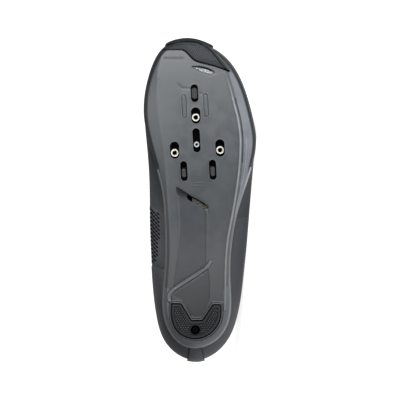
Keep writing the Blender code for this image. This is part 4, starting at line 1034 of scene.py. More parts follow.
def overLast(rowRange, stepRange, outwards, spacing, edge):
    # A sheet's middle surface over part of the last
    coarse = lastAt(np.linspace(*rowRange, 24)[:, None], np.linspace(*stepRange, 24)[None, :])
    rows = rowRange[0] + (rowRange[1] - rowRange[0]) * spread(runAlong(coarse[:, 12])[-1], spacing, edge)
    steps = stepRange[0] + (stepRange[1] - stepRange[0]) * spread(runAlong(coarse[12])[-1], spacing, edge)
    return lastAt(rows[:, None], steps[None, :], outwards)


upperLook = {
    "lipRise": 0.9, "lipStep": 3.985, "lipEase": 0.1, "lipShare": 0.65,
    # The collar's padding: rows it reaches and fades over, wall steps it starts at and grows over
    "padThickness": 4.2, "padRows": 4.2, "padFade": 0.9, "padStep": 3.05, "padClimb": 0.5,
}
counter = {
    "rows": (-3.0, 4.0), "steps": (2.14, 3.0 + 3.0 / 7.0), "offset": 0.2, "thickness": 0.8, "edge": 2.6,
}
strip = {
    "rows": (-0.25, 0.25), "steps": (2.1, 3.0 + 6.0 / 7.0), "offset": 1.9, "thickness": 0.8, "edge": 0.7,
    "pipingOffset": 1.75, "pipingRadius": 0.62,
}


# Where its painted shade, in tone and sheen, turns, along an axis in millimetres
microfibreTurns = {
    "across": ("X", -30.0, 30.0), "up": ("Z", 13.0, 27.0),
    "archRear": ("Y", 60.0, 105.0), "archFront": ("Y", 185.0, 150.0),
}
# The sheen, the sheen and the tone taken away where shade is painted, how far the arch eases that shade on the
# outer side, and the painted shade's tone
microfibreLook = {
    "shine": 0.58, "shadeShineLoss": -0.36, "archShadeEase": -0.55, "shadeToneShare": 0.6, "shadeTone": "#0a0b0d",
}


def microfibre(name, outer, inner, roughness):
    # Coated microfibre: near black, low sheen, fine pebbled grain, bluer on the outer side; painted shade,
    # darker and with less sheen, high on the outer side, less in its arch, and low on the inner side
    material, tree, shader, place = newMaterial(name, outer, roughness)
    patches = mottled(tree, shader, place, inner, outer, 16.0)
    across, up, archRear, archFront = [rampedPlace(tree, place, *turn) for turn in microfibreTurns.values()]
    # The share of painted shade: high on the outer side, eased in its arch, and low on the inner side
    inArch = addNode(tree, "ShaderNodeMath", {"operation": "MULTIPLY"}, {0: archRear, 1: archFront}).outputs[0]
    times, minus = {"operation": "MULTIPLY_ADD"}, {"operation": "SUBTRACT"}
    arch = {**times, "use_clamp": True, 1: microfibreLook["archShadeEase"]}
    outerShade = addNode(tree, "ShaderNodeMath", arch, {0: inArch, 2: up}).outputs[0]
    innerShade = addNode(tree, "ShaderNodeMath", {**minus, 0: 1.0}, {1: up}).outputs[0]
    apart = addNode(tree, "ShaderNodeMath", minus, {0: innerShade, 1: outerShade}).outputs[0]
    paintedShade = addNode(tree, "ShaderNodeMath", times, {0: across, 1: apart, 2: outerShade}).outputs[0]
    # Less sheen where shade is painted
    shining = {**times, 1: microfibreLook["shadeShineLoss"], 2: microfibreLook["shine"]}
    shine = addNode(tree, "ShaderNodeMath", shining, {0: paintedShade}).outputs[0]
    # The tone: patches towards the inner side, the plain outer tone, and both darker where shade is painted
    half = {**colourMix, "Factor": 0.5, colourFirst: hexColour(inner)}
    patches = addNode(tree, "ShaderNodeMix", half, {colourSecond: patches}).outputs[colourOut]
    plain = {**colourMix, colourFirst: hexColour(outer)}
    tone = addNode(tree, "ShaderNodeMix", plain, {"Factor": across, colourSecond: patches}).outputs[colourOut]
    lost, shadeTone = microfibreLook["shadeToneShare"], hexColour(microfibreLook["shadeTone"])
    lost = {**colourMix, "Factor": lost, colourSecond: shadeTone}
    dark = addNode(tree, "ShaderNodeMix", lost, {colourFirst: tone}).outputs[colourOut]
    ends = {"Factor": paintedShade, colourFirst: tone, colourSecond: dark}
    tone = addNode(tree, "ShaderNodeMix", colourMix, ends).outputs[colourOut]
    tree.links.new(tone, shader.inputs["Base Color"])
    tree.links.new(shine, shader.inputs["Specular IOR Level"])
    grained(tree, shader, place, 0.9, 0.06)
    return material


def rubber(name, light, dark, roughness, specular=0.3):
    # Moulded rubber: dull, faintly dusty, with a very fine grain
    material, tree, shader, place = newMaterial(name, light, roughness)
    mottled(tree, shader, place, light, dark, 7.0)
    grained(tree, shader, place, 0.35, 0.03)
    shader.inputs["Specular IOR Level"].default_value = specular
    return material


# The wave texture draws about this many bands in one unit of its scale
bandsPerPitch = 3.1


def textile(name, light, dark, pitch, height):
    # Woven cloth: crossed threads as fine waves, no sheen
    material, tree, shader, place = newMaterial(name, light, 0.9)
    mottled(tree, shader, place, light, dark, 5.0)
    shader.inputs["Specular IOR Level"].default_value = 0.15
    shader.inputs["Sheen Weight"].default_value = 0.15
    waves = []
    for direction in ("X", "Y"):
        bands = {"wave_type": "BANDS", "bands_direction": direction, "Scale": perMetre(pitch) / bandsPerPitch}
        waves.append(addNode(tree, "ShaderNodeTexWave", bands, {"Vector": place}).outputs["Color"])
    both = addNode(tree, "ShaderNodeMath", {"operation": "MAXIMUM"}, {0: waves[0], 1: waves[1]})
    relief = {"Strength": 1.0, "Distance": height * 0.001}
    bump = addNode(tree, "ShaderNodeBump", relief, {"Height": both.outputs[0]})
    tree.links.new(bump.outputs["Normal"], shader.inputs["Normal"])
    return material


def satinMetal(name, colour, roughness):
    # Plated or drawn metal: bright, with faint turning marks
    material, tree, shader, place = newMaterial(name, colour, roughness)
    shader.inputs["Metallic"].default_value = 1.0
    grained(tree, shader, place, 0.25, 0.01)
    return material


def eased(share):
    # A share that starts and ends softly
    share = np.clip(share, 0.0, 1.0)
    return share * share * (3.0 - 2.0 * share)


def buildUpper(material, liningMaterial):
    # Outer wall, a rolled lip, and an inner wall that is padded round the heel's collar
    outerSteps = np.append(wallSteps[wallSteps < upperLook["lipStep"] - 0.01], upperLook["lipStep"])
    rows = columnRows[:, None]
    outer = lastAt(rows, outerSteps[None, :])
    fromHeel = np.minimum(rows, 2.0 * (rowCount - 1) - rows)
    collar = eased((upperLook["padRows"] - fromHeel) / upperLook["padFade"])
    swell = collar * eased((outerSteps[None, :] - upperLook["padStep"]) / upperLook["padClimb"])
    share = upperLook["lipShare"]
    ease = np.clip((4.0 - outerSteps[None, :]) / upperLook["lipEase"], 0.0, 1.0) * (1.0 - share) + share
    thickness = shoe["wall"] + (upperLook["padThickness"] - shoe["wall"]) * swell * ease
    inner = lastAt(rows, outerSteps[None, :], -thickness)
    top, under = outer[:, -1], inner[:, -1]
    climbing = outer[:, -1] - outer[:, -3]
    climbing /= np.linalg.norm(climbing, axis=1)[:, None]
    lip = []
    for angle in np.linspace(0.0, math.pi, 9)[1:-1]:
        rise = upperLook["lipRise"] * math.sin(angle)
        lip.append(top + (under - top) * (1.0 - math.cos(angle)) / 2.0 + climbing * rise)
    grid = np.concatenate([outer, np.stack(lip, axis=1), inner[:, ::-1]], axis=1)
    columns, count = grid.shape[:2]
    faces = gridFaces(columns, count, closedColumns=True, closedRows=True)
    liningFrom = len(outerSteps) + 4
    slots = [1 if liningFrom <= face[0] % count < count - 1 else 0 for face in faces]
    verts, materials = grid.reshape(-1, 3), [material, liningMaterial]
    makePiece("upper_shell", verts, faces, materials, ["upper"], 50.0, slots)


def buildCounter(material):
    middle = overLast(counter["rows"], counter["steps"], counter["offset"], 2.0, counter["edge"])
    verts, faces = pillowed(middle, counter["thickness"], counter["edge"])
    makePiece("heel_counter_cover", verts, faces, [material], ["heel_counter"], 60.0)


perforation = {
    "rows": (15.74, 16.98), "steps": (2.12, 3.4), "across": 4.0, "along": 3.5, "length": 2.9, "width": 1.15,
    "edge": 1.6, "height": 0.32, "floor": 0.05, "steepest": 0.2, "corner": 2.0, "rim": 0.03, "back": -0.3,
    "bevel": 1.5, "probe": 0.2,
    # Holes start this far out at each place along
    "from": [(76.0, 36.0), (84.0, 35.0), (120.0, 31.4), (140.0, 31.4)],
}


def buildPerforatedPanel(material, holeMaterial):
    # A thin overlay on the inner side with slanting slots sunk into it; flat places are in millimetres
    rows, steps = np.linspace(*perforation["rows"], 60), np.linspace(*perforation["steps"], 60)
    middleRow, middleStep = np.full(60, rows[30]), np.full(60, steps[30])
    along, up = runAlong(lastAt(rows, middleStep)), runAlong(lastAt(middleRow, steps))

    def onPanel(plan, outwards):
        plan = np.asarray(plan)
        return lastAt(np.interp(plan[:, 0], along, rows), np.interp(plan[:, 1], up, steps), outwards)

    def seenFromBelow(u, v):
        # How a step along and a step up the panel look in the sole's plan
        probe = perforation["probe"]
        at = onPanel([(u, v), (u + probe, v), (u, v + probe)], 0.0)[:, :2]
        alongStep, upStep = (at[1] - at[0]) / probe, (at[2] - at[0]) / probe
        upStep[0] = max(upStep[0], perforation["steepest"])
        return np.stack([alongStep, upStep], axis=1)

    size = np.array([along[-1], up[-1]])
    corners = np.array([(0.0, 0.0), (size[0], 0.0), (size[0], size[1]), (0.0, size[1])])
    outline = spaced(roundedOutline(corners, perforation["corner"]), 1.2)
    half = perforation["width"] / 2.0
    turns = [(end, math.pi * (end + k / 5.0)) for end in (0, 1) for k in range(6)]
    reach = perforation["length"] / 2.0 - half
    slot = np.array([(half * math.cos(a), half * math.sin(a) + reach * (1 - 2 * end)) for end, a in turns])
    slot = slot @ np.array([(1.0, 1.0), (-1.0, 1.0)]).T / math.sqrt(2.0)
    holes, v, count = [], perforation["edge"] + 0.9, 0
    while v < size[1] - perforation["edge"]:
        across = np.linspace(perforation["edge"], size[0] - perforation["edge"], 80)
        reached = onPanel([(u, v) for u in across], 0.0)[:, 1]
        shift = perforation["along"] / 2.0 * (count % 2)
        for y in np.arange(reached.min() + shift, reached.max(), perforation["along"]):
            u = float(np.interp(y, reached[::-1], across[::-1]))
            hole = slot @ np.linalg.inv(seenFromBelow(u, v)).T + (u, v)
            place = onPanel([(u, v)], 0.0)[0]
            clear = signedDistance(hole, outline).max() < -perforation["edge"] * 0.4
            if clear and place[0] > np.interp(place[1], *zip(*perforation["from"])):
                holes.append(hole)
        v += perforation["across"] / 2.0 / seenFromBelow(size[0] / 2.0, v)[0, 1]
        count += 1
    high, rim, under = perforation["height"], perforation["rim"], perforation["back"]
    flat, faces, _ = planMesh(outline, holes, [], 1.7, 0.4)
    fromEdge = np.clip(-signedDistance(flat, outline) / perforation["bevel"], 0.0, 1.0)
    verts = [tuple(p) for p in onPanel(flat, rim + (high - rim) * fromEdge * (2.0 - fromEdge))]
    slots = [0] * len(faces)
    addWall(verts, faces, onPanel(outline, rim), onPanel(outline, under))
    slots += [0] * len(outline)
    for hole in holes:
        faces.append(addWall(verts, faces, onPanel(hole, high), onPanel(hole, perforation["floor"])))
        slots += [1] * (len(hole) + 1)
    back, backFaces, _ = planMesh(outline, [], [], 3.0, 0.4)
    first = len(verts)
    verts += [tuple(p) for p in onPanel(back, under)]
    faces += [tuple(first + k for k in reversed(face)) for face in backFaces]
    slots += [0] * len(backFaces)
    print("perforations", len(holes))
    makePiece("perforated_panel", verts, faces, [material, holeMaterial], (), 40.0, slots)


def buildStrip(material, pipingMaterial):
    middle = overLast(strip["rows"], strip["steps"], strip["offset"], 0.9, strip["edge"])
    verts, faces = pillowed(middle, strip["thickness"], strip["edge"])
    makePiece("heel_strip_cover", verts, faces, [material], ["heel_strip"], 60.0)
    verts, faces = [], []
    for row in strip["rows"]:
        line = lastAt(np.full(90, row), np.linspace(*strip["steps"], 90), strip["pipingOffset"])
        addTube(verts, faces, line, strip["pipingRadius"], 8)
    makePiece("heel_strip_piping", verts, faces, [pipingMaterial], ())


def addTube(verts, faces, line, radius, sides):
    # A round bar along a line, tapered shut at its ends
    ahead = np.gradient(line, axis=0)
    ahead /= np.maximum(np.linalg.norm(ahead, axis=1), 1e-9)[:, None]
    anyAside = (0.31, 0.17, 0.94)
    side = np.cross(ahead[0], anyAside)
    first, count = len(verts), len(line)
    for k in range(count):
        side = side - ahead[k] * (side @ ahead[k])
        side /= np.linalg.norm(side)
        other = np.cross(ahead[k], side)
        size = radius if 0 < k < count - 1 else radius * 0.25
        for angle in np.arange(sides) * math.tau / sides:
            verts.append(line[k] + (side * math.cos(angle) + other * math.sin(angle)) * size)
    faces += [tuple(first + k for k in face) for face in gridFaces(count, sides, closedRows=True)]
    faces.append(tuple(first + m for m in reversed(range(sides))))
    faces.append(tuple(first + (count - 1) * sides + m for m in range(sides)))


guardLook = {
    "thickness": 1.8, "rows": (9.14, 10.88), "spacing": 0.04, "taper": 0.1, "outerSteps": 22,
    "innerSteps": 12, "footRise": 0.2, "topStep": 3.24, "topFullness": 1.1,
    "upperStep": 3.0 + 2.0 / 7.0, "lowerStep": 2.3,
    "innerOffset": 0.3, "endOffset": 0.35, "endGrowth": 0.25,
}


def buildGuard(material):
    # A bumper that fills the overhang over the rim, stepped down at both ends
    firstRow, lastRow = guardLook["rows"]
    rows = np.arange(firstRow, lastRow + 1e-6, guardLook["spacing"])
    rim, seat = soleEdge(), soleEdge(1.0)
    columns = rows * lastForm["columnsPerRow"]
    ring = sampled(rim[:, None, :], columns, np.zeros(len(rows)), True)
    seatRing = sampled(seat[:, None, :], columns, np.zeros(len(rows)), True)
    half, proudness = guardLook["thickness"] / 2.0, shoe["gap"] + guardLook["thickness"]
    upper, lower, end = guardLook["upperStep"], guardLook["lowerStep"], guardLook["endOffset"]
    outside, inside = guardLook["outerSteps"], guardLook["innerSteps"]
    profiles = []
    for k, row in enumerate(rows):
        low = float(rimHeight(ring[k, 1])) + shoe["gap"]
        flat = lastAt([row], [3.0], 1.0)[0] - lastAt([row], [3.0])[0]
        flat[2] = 0.0
        foot = np.array([*ring[k], low + guardLook["footRise"]]) + flat * half
        proud = lastAt([row], [3.0])[0] + flat * proudness
        top = lastAt([row], [guardLook["topStep"]], shoe["gap"] + half * guardLook["topFullness"])[0]
        knots = np.array([[*seatRing[k], low], foot, proud, top, lastAt([row], [upper], end)[0]])
        places = runAlong(knots)
        outer = splineThrough(places, knots, np.linspace(0.0, places[-1], outside), closed=False)
        inner = lastAt(np.full(inside, row), np.linspace(upper, lower, inside), guardLook["innerOffset"])
        fromEnd = min(row - firstRow, lastRow - row) / guardLook["taper"]
        rounding = math.sqrt(max(0.0, 1.0 - (1.0 - min(fromEnd, 1.0)) ** 2))
        grow = rounding * (1.0 - guardLook["endGrowth"]) + guardLook["endGrowth"]
        hug = lastAt(np.full(outside, row), np.linspace(lower, upper, outside), end)
        profiles.append(np.concatenate([hug + (outer - hug) * grow, inner[1:-1]]))
    grid = np.array(profiles)
    columns, count = grid.shape[:2]
    faces = gridFaces(columns, count, closedRows=True)
    faces.append(tuple(range(count)))
    faces.append(tuple((columns - 1) * count + k for k in reversed(range(count))))
    makePiece("toe_guard_bumper", grid.reshape(-1, 3), faces, [material], ["toe_guard"], 45.0)


# Straps and tongue: ribs over the foot, up the outer wall, across the throat and down the inner wall
throat = {"crown": 0.2, "roundness": 2.2, "wrap": 0.12, "clearance": 0.5}
strapPlaces = {"front": (6.25, 7.0), "middle": (5.25, 6.0), "top": (4.25, 5.0)}
strapLook = {
    "lateral": 3.0 + 4.0 / 7.0, "medial": 3.0 + 2.0 / 7.0, "thickness": 1.6, "endRadius": 9.0,
    "cornerRadius": 2.5, "spacing": 1.3, "edge": 0.8, "narrowest": 0.06, "ribs": 25,
    "counts": (26, 34, 40), "smoothing": 6, "stitchInset": 7, "boxLength": 14, "stitchLift": 0.05,
}
tongueLook = {
    "thickness": 3.2, "firstRow": 9.75, "lastRow": 4.0, "rowStep": 0.25, "side": 3.0 + 6.0 / 7.0,
    "spacing": 1.6, "quiltPitch": 11.0, "quiltDepth": 0.7, "quiltFullness": 0.6, "quiltFade": 6.0,
}
# The tongue above the throat: along, up, half width and how far its sides drop, as shares
tongueRows = [
    (0.374, 0.98, 0.176, 0.105), (0.354, 1.06, 0.205, 0.1), (0.332, 1.14, 0.225, 0.095),
    (0.312, 1.2, 0.22, 0.085), (0.304, 1.225, 0.185, 0.07),
]


def rib(row, lateralStep, medialStep, outwards, counts):
    # One line across the foot; counts are its points on the outer side, over the throat and on the inner side
    other = 2.0 * (rowCount - 1) - row
    lateral = lastAt(np.full(counts[0], row), np.linspace(lateralStep, 4.0, counts[0]), outwards)
    medial = lastAt(np.full(counts[2], other), np.linspace(4.0, medialStep, counts[2]), outwards)
    first, final = lateral[-1], medial[0]
    height = throat["crown"] * np.linalg.norm(final - first) / 2.0
    share = np.linspace(0.0, 1.0, counts[1] + 1)[1:-1, None]
    bridge = first + (final - first) * share + np.array([[0.0, 0.0, 4.0 * height]]) * share * (1.0 - share)
    return np.concatenate([lateral, bridge, medial])


def buildStraps(material, stitchMaterial):
    stitchVerts, stitchFaces = [], []
    thickness, spacing, edge = strapLook["thickness"], strapLook["spacing"], strapLook["edge"]
    offset, lift = shoe["gap"] + thickness / 2.0, thickness / 2.0 + strapLook["stitchLift"]
    lateral, medial, count = strapLook["lateral"], strapLook["medial"], strapLook["ribs"]
    for name, (rear, front) in strapPlaces.items():
        rows = np.linspace(rear, front, count)
        ribs = np.array([rib(row, lateral, medial, offset, strapLook["counts"]) for row in rows])
        for _ in range(strapLook["smoothing"]):
            ribs[:, 1:-1] = (ribs[:, :-2] + 2.0 * ribs[:, 1:-1] + ribs[:, 2:]) / 4.0
        # The free end on the outer side is round, the sewn end square with small corners
        run = runAlong(ribs[count // 2])
        wide = np.linalg.norm(ribs[-1] - ribs[0], axis=1)
        along = spread(run[-1], spacing, edge)
        across = spread(float(wide.mean()), spacing, edge)
        places = np.interp(along * run[-1], run, np.arange(len(run)))
        radii = (strapLook["endRadius"], strapLook["cornerRadius"])
        middle = np.empty((len(across), len(along), 3))
        for k, (share, place) in enumerate(zip(along, places)):
            half = np.interp(place, np.arange(len(wide)), wide) / 2.0
            keep = 1.0
            for apart, radius in ((share * run[-1], radii[0]), ((1.0 - share) * run[-1], radii[1])):
                if apart < radius:
                    keep = min(keep, 1.0 - (radius - math.sqrt(radius**2 - (radius - apart) ** 2)) / half)
            columns = ((across - 0.5) * max(keep, strapLook["narrowest"]) + 0.5) * (count - 1.0)
            middle[:, k] = sampled(ribs, columns, np.full(len(across), place), False)
        verts, faces = pillowed(middle, thickness, edge)
        piece = "strap_" + name
        makePiece(piece + "_cover", verts, faces, [material], [piece], 60.0)
        top = middle + surfaceNormals(middle, closed=False) * lift
        a = c = strapLook["stitchInset"]
        b, d = len(across) - 1 - a, len(along) - 1 - c
        border = np.concatenate([top[a, c:d], top[a:b, d], top[b, d:c:-1], top[b:a:-1, c]])
        addStitches(stitchVerts, stitchFaces, border, True)
        # A crossed box holds the sewn end
        e = d - strapLook["boxLength"]
        box = [top[a, d], top[b, e], top[b, d], top[a, e], top[a, d]]
        for first, final in zip(box, box[1:]):
            ends = [np.argmin(np.linalg.norm(top.reshape(-1, 3) - p, axis=1)) for p in (first, final)]
            i0, j0, i1, j1 = *divmod(ends[0], len(along)), *divmod(ends[1], len(along))
            t = np.linspace(0.0, 1.0, 24)
            line = sampled(top, i0 + (i1 - i0) * t, j0 + (j1 - j0) * t, False)
            addStitches(stitchVerts, stitchFaces, line, False)
    makePiece("strap_stitching", stitchVerts, stitchFaces, [stitchMaterial], ())


stitch = {"length": 2.0, "pitch": 2.9, "radius": 0.24}


def addStitches(verts, faces, line, closed):
    # Short rounded threads along a line
    if closed:
        line = np.concatenate([line, line[:1]])
    run = runAlong(line)
    count = max(1, int(run[-1] / stitch["pitch"]))
    pitch = run[-1] / count
    for k in range(count):
        at = k * pitch + pitch / 2.0 + np.linspace(-0.5, 0.5, 5) * stitch["length"]
        points = np.stack([np.interp(at, run, line[:, axis]) for axis in range(3)], axis=1)
        addTube(verts, faces, points, stitch["radius"], 5)


def buildTongue(material):
    inwards, side, spacing = -(shoe["wall"] + throat["clearance"]), tongueLook["side"], tongueLook["spacing"]
    ribs = []
    for row in np.arange(tongueLook["firstRow"], tongueLook["lastRow"] - 0.01, -tongueLook["rowStep"]):
        ribs.append(rib(row, side, side, inwards, (2, 6, 2)))
    across = np.linspace(-1.0, 1.0, len(ribs[0]))
    for along, up, half, drop in tongueRows:
        fall = drop * shoe["collarHeight"] * np.abs(across) ** throat["roundness"]
        x, y = across * half * shoe["ballWidth"], along * shoe["length"] + throat["wrap"] * fall
        ribs.append(np.stack([x, y, up * shoe["collarHeight"] - fall], axis=1))
    coarse = np.array(ribs[::-1])
    thickness = tongueLook["thickness"]
    run = runAlong(coarse[:, 4])
    rows = spread(run[-1], spacing, spacing)
    columns = spread(runAlong(coarse[len(coarse) // 2])[-1], spacing, spacing)
    rowPlaces = np.interp(rows * run[-1], run, np.arange(len(run)))
    first, second = np.meshgrid(rowPlaces, columns * (coarse.shape[1] - 1), indexing="ij")
    surface = sampled(coarse, first, second, False)
    middle = surface - surfaceNormals(surface, closed=False) * thickness / 2.0
    # Quilting: bars of padding across the tongue, between stitched valleys
    wave = 0.5 - 0.5 * np.cos(math.tau * rows * run[-1] / tongueLook["quiltPitch"])
    sunk = (wave[:, None] ** tongueLook["quiltFullness"] - 1.0) * tongueLook["quiltDepth"]
    sunk = sunk * np.clip(borderDistance(middle) / tongueLook["quiltFade"], 0.0, 1.0)
    middle = middle + surfaceNormals(middle, closed=False) * sunk[..., None]
    verts, faces = pillowed(middle, thickness, spacing)
    makePiece("tongue_pad", verts, faces, [material], ["tongue"], 60.0)


insoleLook = {
    "clearance": 0.5, "across": 28, "edgeThickness": 0.6, "rise": 2.4, "rounding": 1.4, "cupWidth": 9.0,
    "cupAlong": (60.0, 150.0), "cupHeights": (1.2, 0.3), "underSlope": 0.02,
}


def buildInsole(material):
    # A shallow cupped footbed: rungs from the outer side to the inner side
    inwards = soleForm["rimWidth"] + shoe["gap"] + shoe["wall"] + soleForm["rimTuck"]
    ring = soleEdge(inwards + insoleLook["clearance"])
    count, half, across = len(ring), len(ring) // 2, insoleLook["across"]
    shares = np.linspace(0.0, 1.0, across)
    rungs = [ring[i] + (ring[(count - i) % count] - ring[i]) * shares[:, None] for i in range(half + 1)]
    plan = np.array(rungs)
    base = plateauHeight(plan[..., 1]) + shoe["gap"]
    near = distanceTo(plan.reshape(-1, 2), ring).reshape(plan.shape[:2])
    cup = np.clip(1.0 - near / insoleLook["cupWidth"], 0.0, 1.0) ** 2
    cup = cup * np.interp(plan[..., 1], insoleLook["cupAlong"], insoleLook["cupHeights"])
    fromEdge = np.clip(near / insoleLook["rounding"], 0.0, 1.0)
    edge = np.sqrt(np.clip(1.0 - (1.0 - fromEdge) ** 2, 0.0, 1.0))
    height = base + insoleLook["edgeThickness"] + insoleLook["rise"] * edge + cup
    top = np.concatenate([plan, height[..., None]], axis=2)
    bottom = np.concatenate([plan, (base + insoleLook["underSlope"] * near)[..., None]], axis=2)
    faces = gridFaces(half + 1, across)
    verts = np.concatenate([top.reshape(-1, 3), bottom.reshape(-1, 3)])
    faces += [tuple(reversed([k + (half + 1) * across for k in face])) for face in faces]
    for i in range(half):
        for j in (0, across - 1):
            a, b = i * across + j, (i + 1) * across + j
            faces.append((a, b, b + (half + 1) * across, a + (half + 1) * across))
    makePiece("insole_footbed", verts, faces, [material], ["insole"], 50.0)


# Pads: rubber with raised hexagon studs
padLook = {
    "heelProud": 4.2, "heelTall": 5.4, "toeProud": 1.6, "toeTall": 2.8, "frame": 1.7, "sink": 0.45,
    "studPitch": 2.1, "studGap": 0.78, "studRise": 0.7,
    "toeStudPitch": 1.9, "toeStudGap": 0.5, "toeStudRise": 0.3, "toeStudsFrom": -19.0, "toeStudsTo": 6.5,
    # The heel pad's bare bar ahead of the screw: its middle and half width
    "barMiddle": 0.4, "barHalf": 4.6,
    # The toe pad follows the sole's bevel and falls away past the sole's edge; no studs so near its own edge
    "bevelRise": 2.7, "bevelFullness": 1.6, "edgeFall": 0.8, "toeFrame": 3.4,
    "seamHalf": 0.5, "bevelHalf": 0.4, "seamGuardFrom": -5.0,
    "seam": [
        (25.5, 277.3), (20.0, 279.6), (15.6, 280.6), (7.6, 281.0), (-1.9, 280.0), (-5.8, 278.2),
        (-9.2, 276.2), (-12.8, 273.6), (-15.4, 270.8), (-19.3, 265.4), (-22.6, 260.9), (-26.4, 256.6),
    ],
    "bevel": [
        (-18.8, 270.2), (-20.5, 268.2), (-23.2, 264.8), (-25.7, 261.7), (-28.3, 258.1), (-29.6, 256.2),
    ],
}
screwPlace = planPlace((0.0053, 0.1011))
screwLook = {
    "hole": 4.1, "collar": 5.0, "collarSink": 0.05, "clear": 6.2, "floor": 0.72, "head": 3.6, "shank": 2.0,
    "socket": 1.35, "sink": 1.7, "reach": 4.0,
}


def addStuds(verts, faces, outline, pitch, gap, height, baseAt, allowed):
    # Hexagons over a plan, those that cross its edge pulled inside it
    radius = (pitch - gap) / math.sqrt(3.0)
    low, high = outline.min(axis=0), outline.max(axis=0)
    angles = np.arange(6) * math.tau / 6.0 + math.pi / 6.0
    ring = np.stack([np.cos(angles), np.sin(angles)], axis=1)
    rowStep = pitch * math.sqrt(3.0) / 2.0
    centres = [
        (x + pitch / 2.0 * (k % 2), y)
        for k, y in enumerate(np.arange(low[1], high[1], rowStep))
        for x in np.arange(low[0], high[0], pitch)
    ]
    centres = np.array([centre for centre in centres if allowed(centre)])
    centres = centres[signedDistance(centres, outline) < -radius * 0.3]
    for centre in centres:
        share = np.ones(6)
        for _ in range(7):
            share[~isInside(centre + ring * radius * share[:, None], outline)] *= 0.85
        corners = centre + ring * radius * share[:, None]
        first = len(verts)
        for grow, lift in ((1.0, 0.0), (0.96, 0.8), (0.8, 1.0)):
            plan = centre + (corners - centre) * grow
            verts += [tuple(p) for p in raised(plan, baseAt(plan) - height * lift)]
        for k in range(6):
            m = (k + 1) % 6
            faces.append((first + k, first + m, first + 6 + m, first + 6 + k))
            faces.append((first + 6 + k, first + 6 + m, first + 12 + m, first + 12 + k))
        faces.append(tuple(first + 12 + k for k in range(6)))


def padPiece(name, outline, hole, profile, baseAt, tall, studs, materials, tintAt, lines, replaced):
    # A rubber pad: its face towards the ground in rings of different height, straight sides and a flat back
    lines = lines + [(outset(outline, distance), True) for distance, _ in profile if distance < 0.0]
    holes = []
    if hole is not None:
        holes = [hole]
        lines.append((screwPlace + (hole - screwPlace) * (screwLook["collar"] / screwLook["hole"]), True))
    flat, faces, centres = planMesh(outline, holes, lines, 1.6, 0.3)

    def lift(points):
        found = np.interp(signedDistance(points, outline), *zip(*profile))
        if hole is not None:
            nearHole = np.linalg.norm(points - screwPlace, axis=1) < screwLook["collar"] - 0.2
            found = np.where(nearHole, screwLook["collarSink"], found)
        return found

    verts = [tuple(p) for p in raised(flat, baseAt(flat) + lift(flat))]
    slots = list(tintAt(centres))
    mouths = [raised(ring, baseAt(ring) + lift(ring)) for ring in [outline] + holes]
    faces.append(addWall(verts, faces, mouths[0], raised(outline, baseAt(outline) + tall)))
    if hole is not None:
        addWall(verts, faces, mouths[1], raised(hole, baseAt(hole) + tall))
        first = len(verts)
        verts += [tuple(p) for p in raised(hole, baseAt(hole) + tall * screwLook["floor"])]
        faces.append(tuple(first + k for k in range(len(hole))))
    slots += [0] * (len(faces) - len(slots))
    studs(verts, faces)
    slots += [1] * (len(faces) - len(slots))
    makePiece(name, verts, faces, materials, replaced, 32.0, slots)


def heelPadHeight():
    # The sole's bottom at the middle of the heel pad
    rows = heelPadOutline[:, 1]
    return float(bottomHeight((rows.min() + rows.max()) / 2.0))


def buildHeelPad(materials):
    outline = spaced(roundedOutline(heelPadOutline, soleLook["padCorner"]), 1.2)
    low = heelPadHeight() - padLook["heelProud"]
    angles = np.linspace(0.0, math.tau, 37)[:-1]
    hole = screwPlace + screwLook["hole"] * np.stack([np.cos(angles), np.sin(angles)], axis=1)
    field = outset(outline, -padLook["frame"] - 0.4)
    baseAt = lambda plan: np.full(len(plan), low)

    def allowed(centre):
        onBar = abs(centre[0] - padLook["barMiddle"]) < padLook["barHalf"] and centre[1] > screwPlace[1]
        fromScrew = math.hypot(centre[0] - screwPlace[0], centre[1] - screwPlace[1])
        return fromScrew > screwLook["clear"] and not onBar

    def studs(verts, faces):
        pitch, gap, rise = padLook["studPitch"], padLook["studGap"], padLook["studRise"]
        floor = lambda plan: baseAt(plan) + padLook["sink"]
        addStuds(verts, faces, field, pitch, gap, rise, floor, allowed)

    width = padLook["frame"]
    profile = [(-width - 0.45, padLook["sink"]), (-width, 0.0), (-0.9, 0.0), (-0.35, 0.12), (0.0, 0.5)]
    frame = lambda centres: np.where(signedDistance(centres, outline) > -width - 0.2, 2, 0)
    padPiece(
        "heel_pad_tread", outline, hole, profile, baseAt, padLook["heelTall"], studs, materials, frame, [],
        ["heel_pad"],
    )


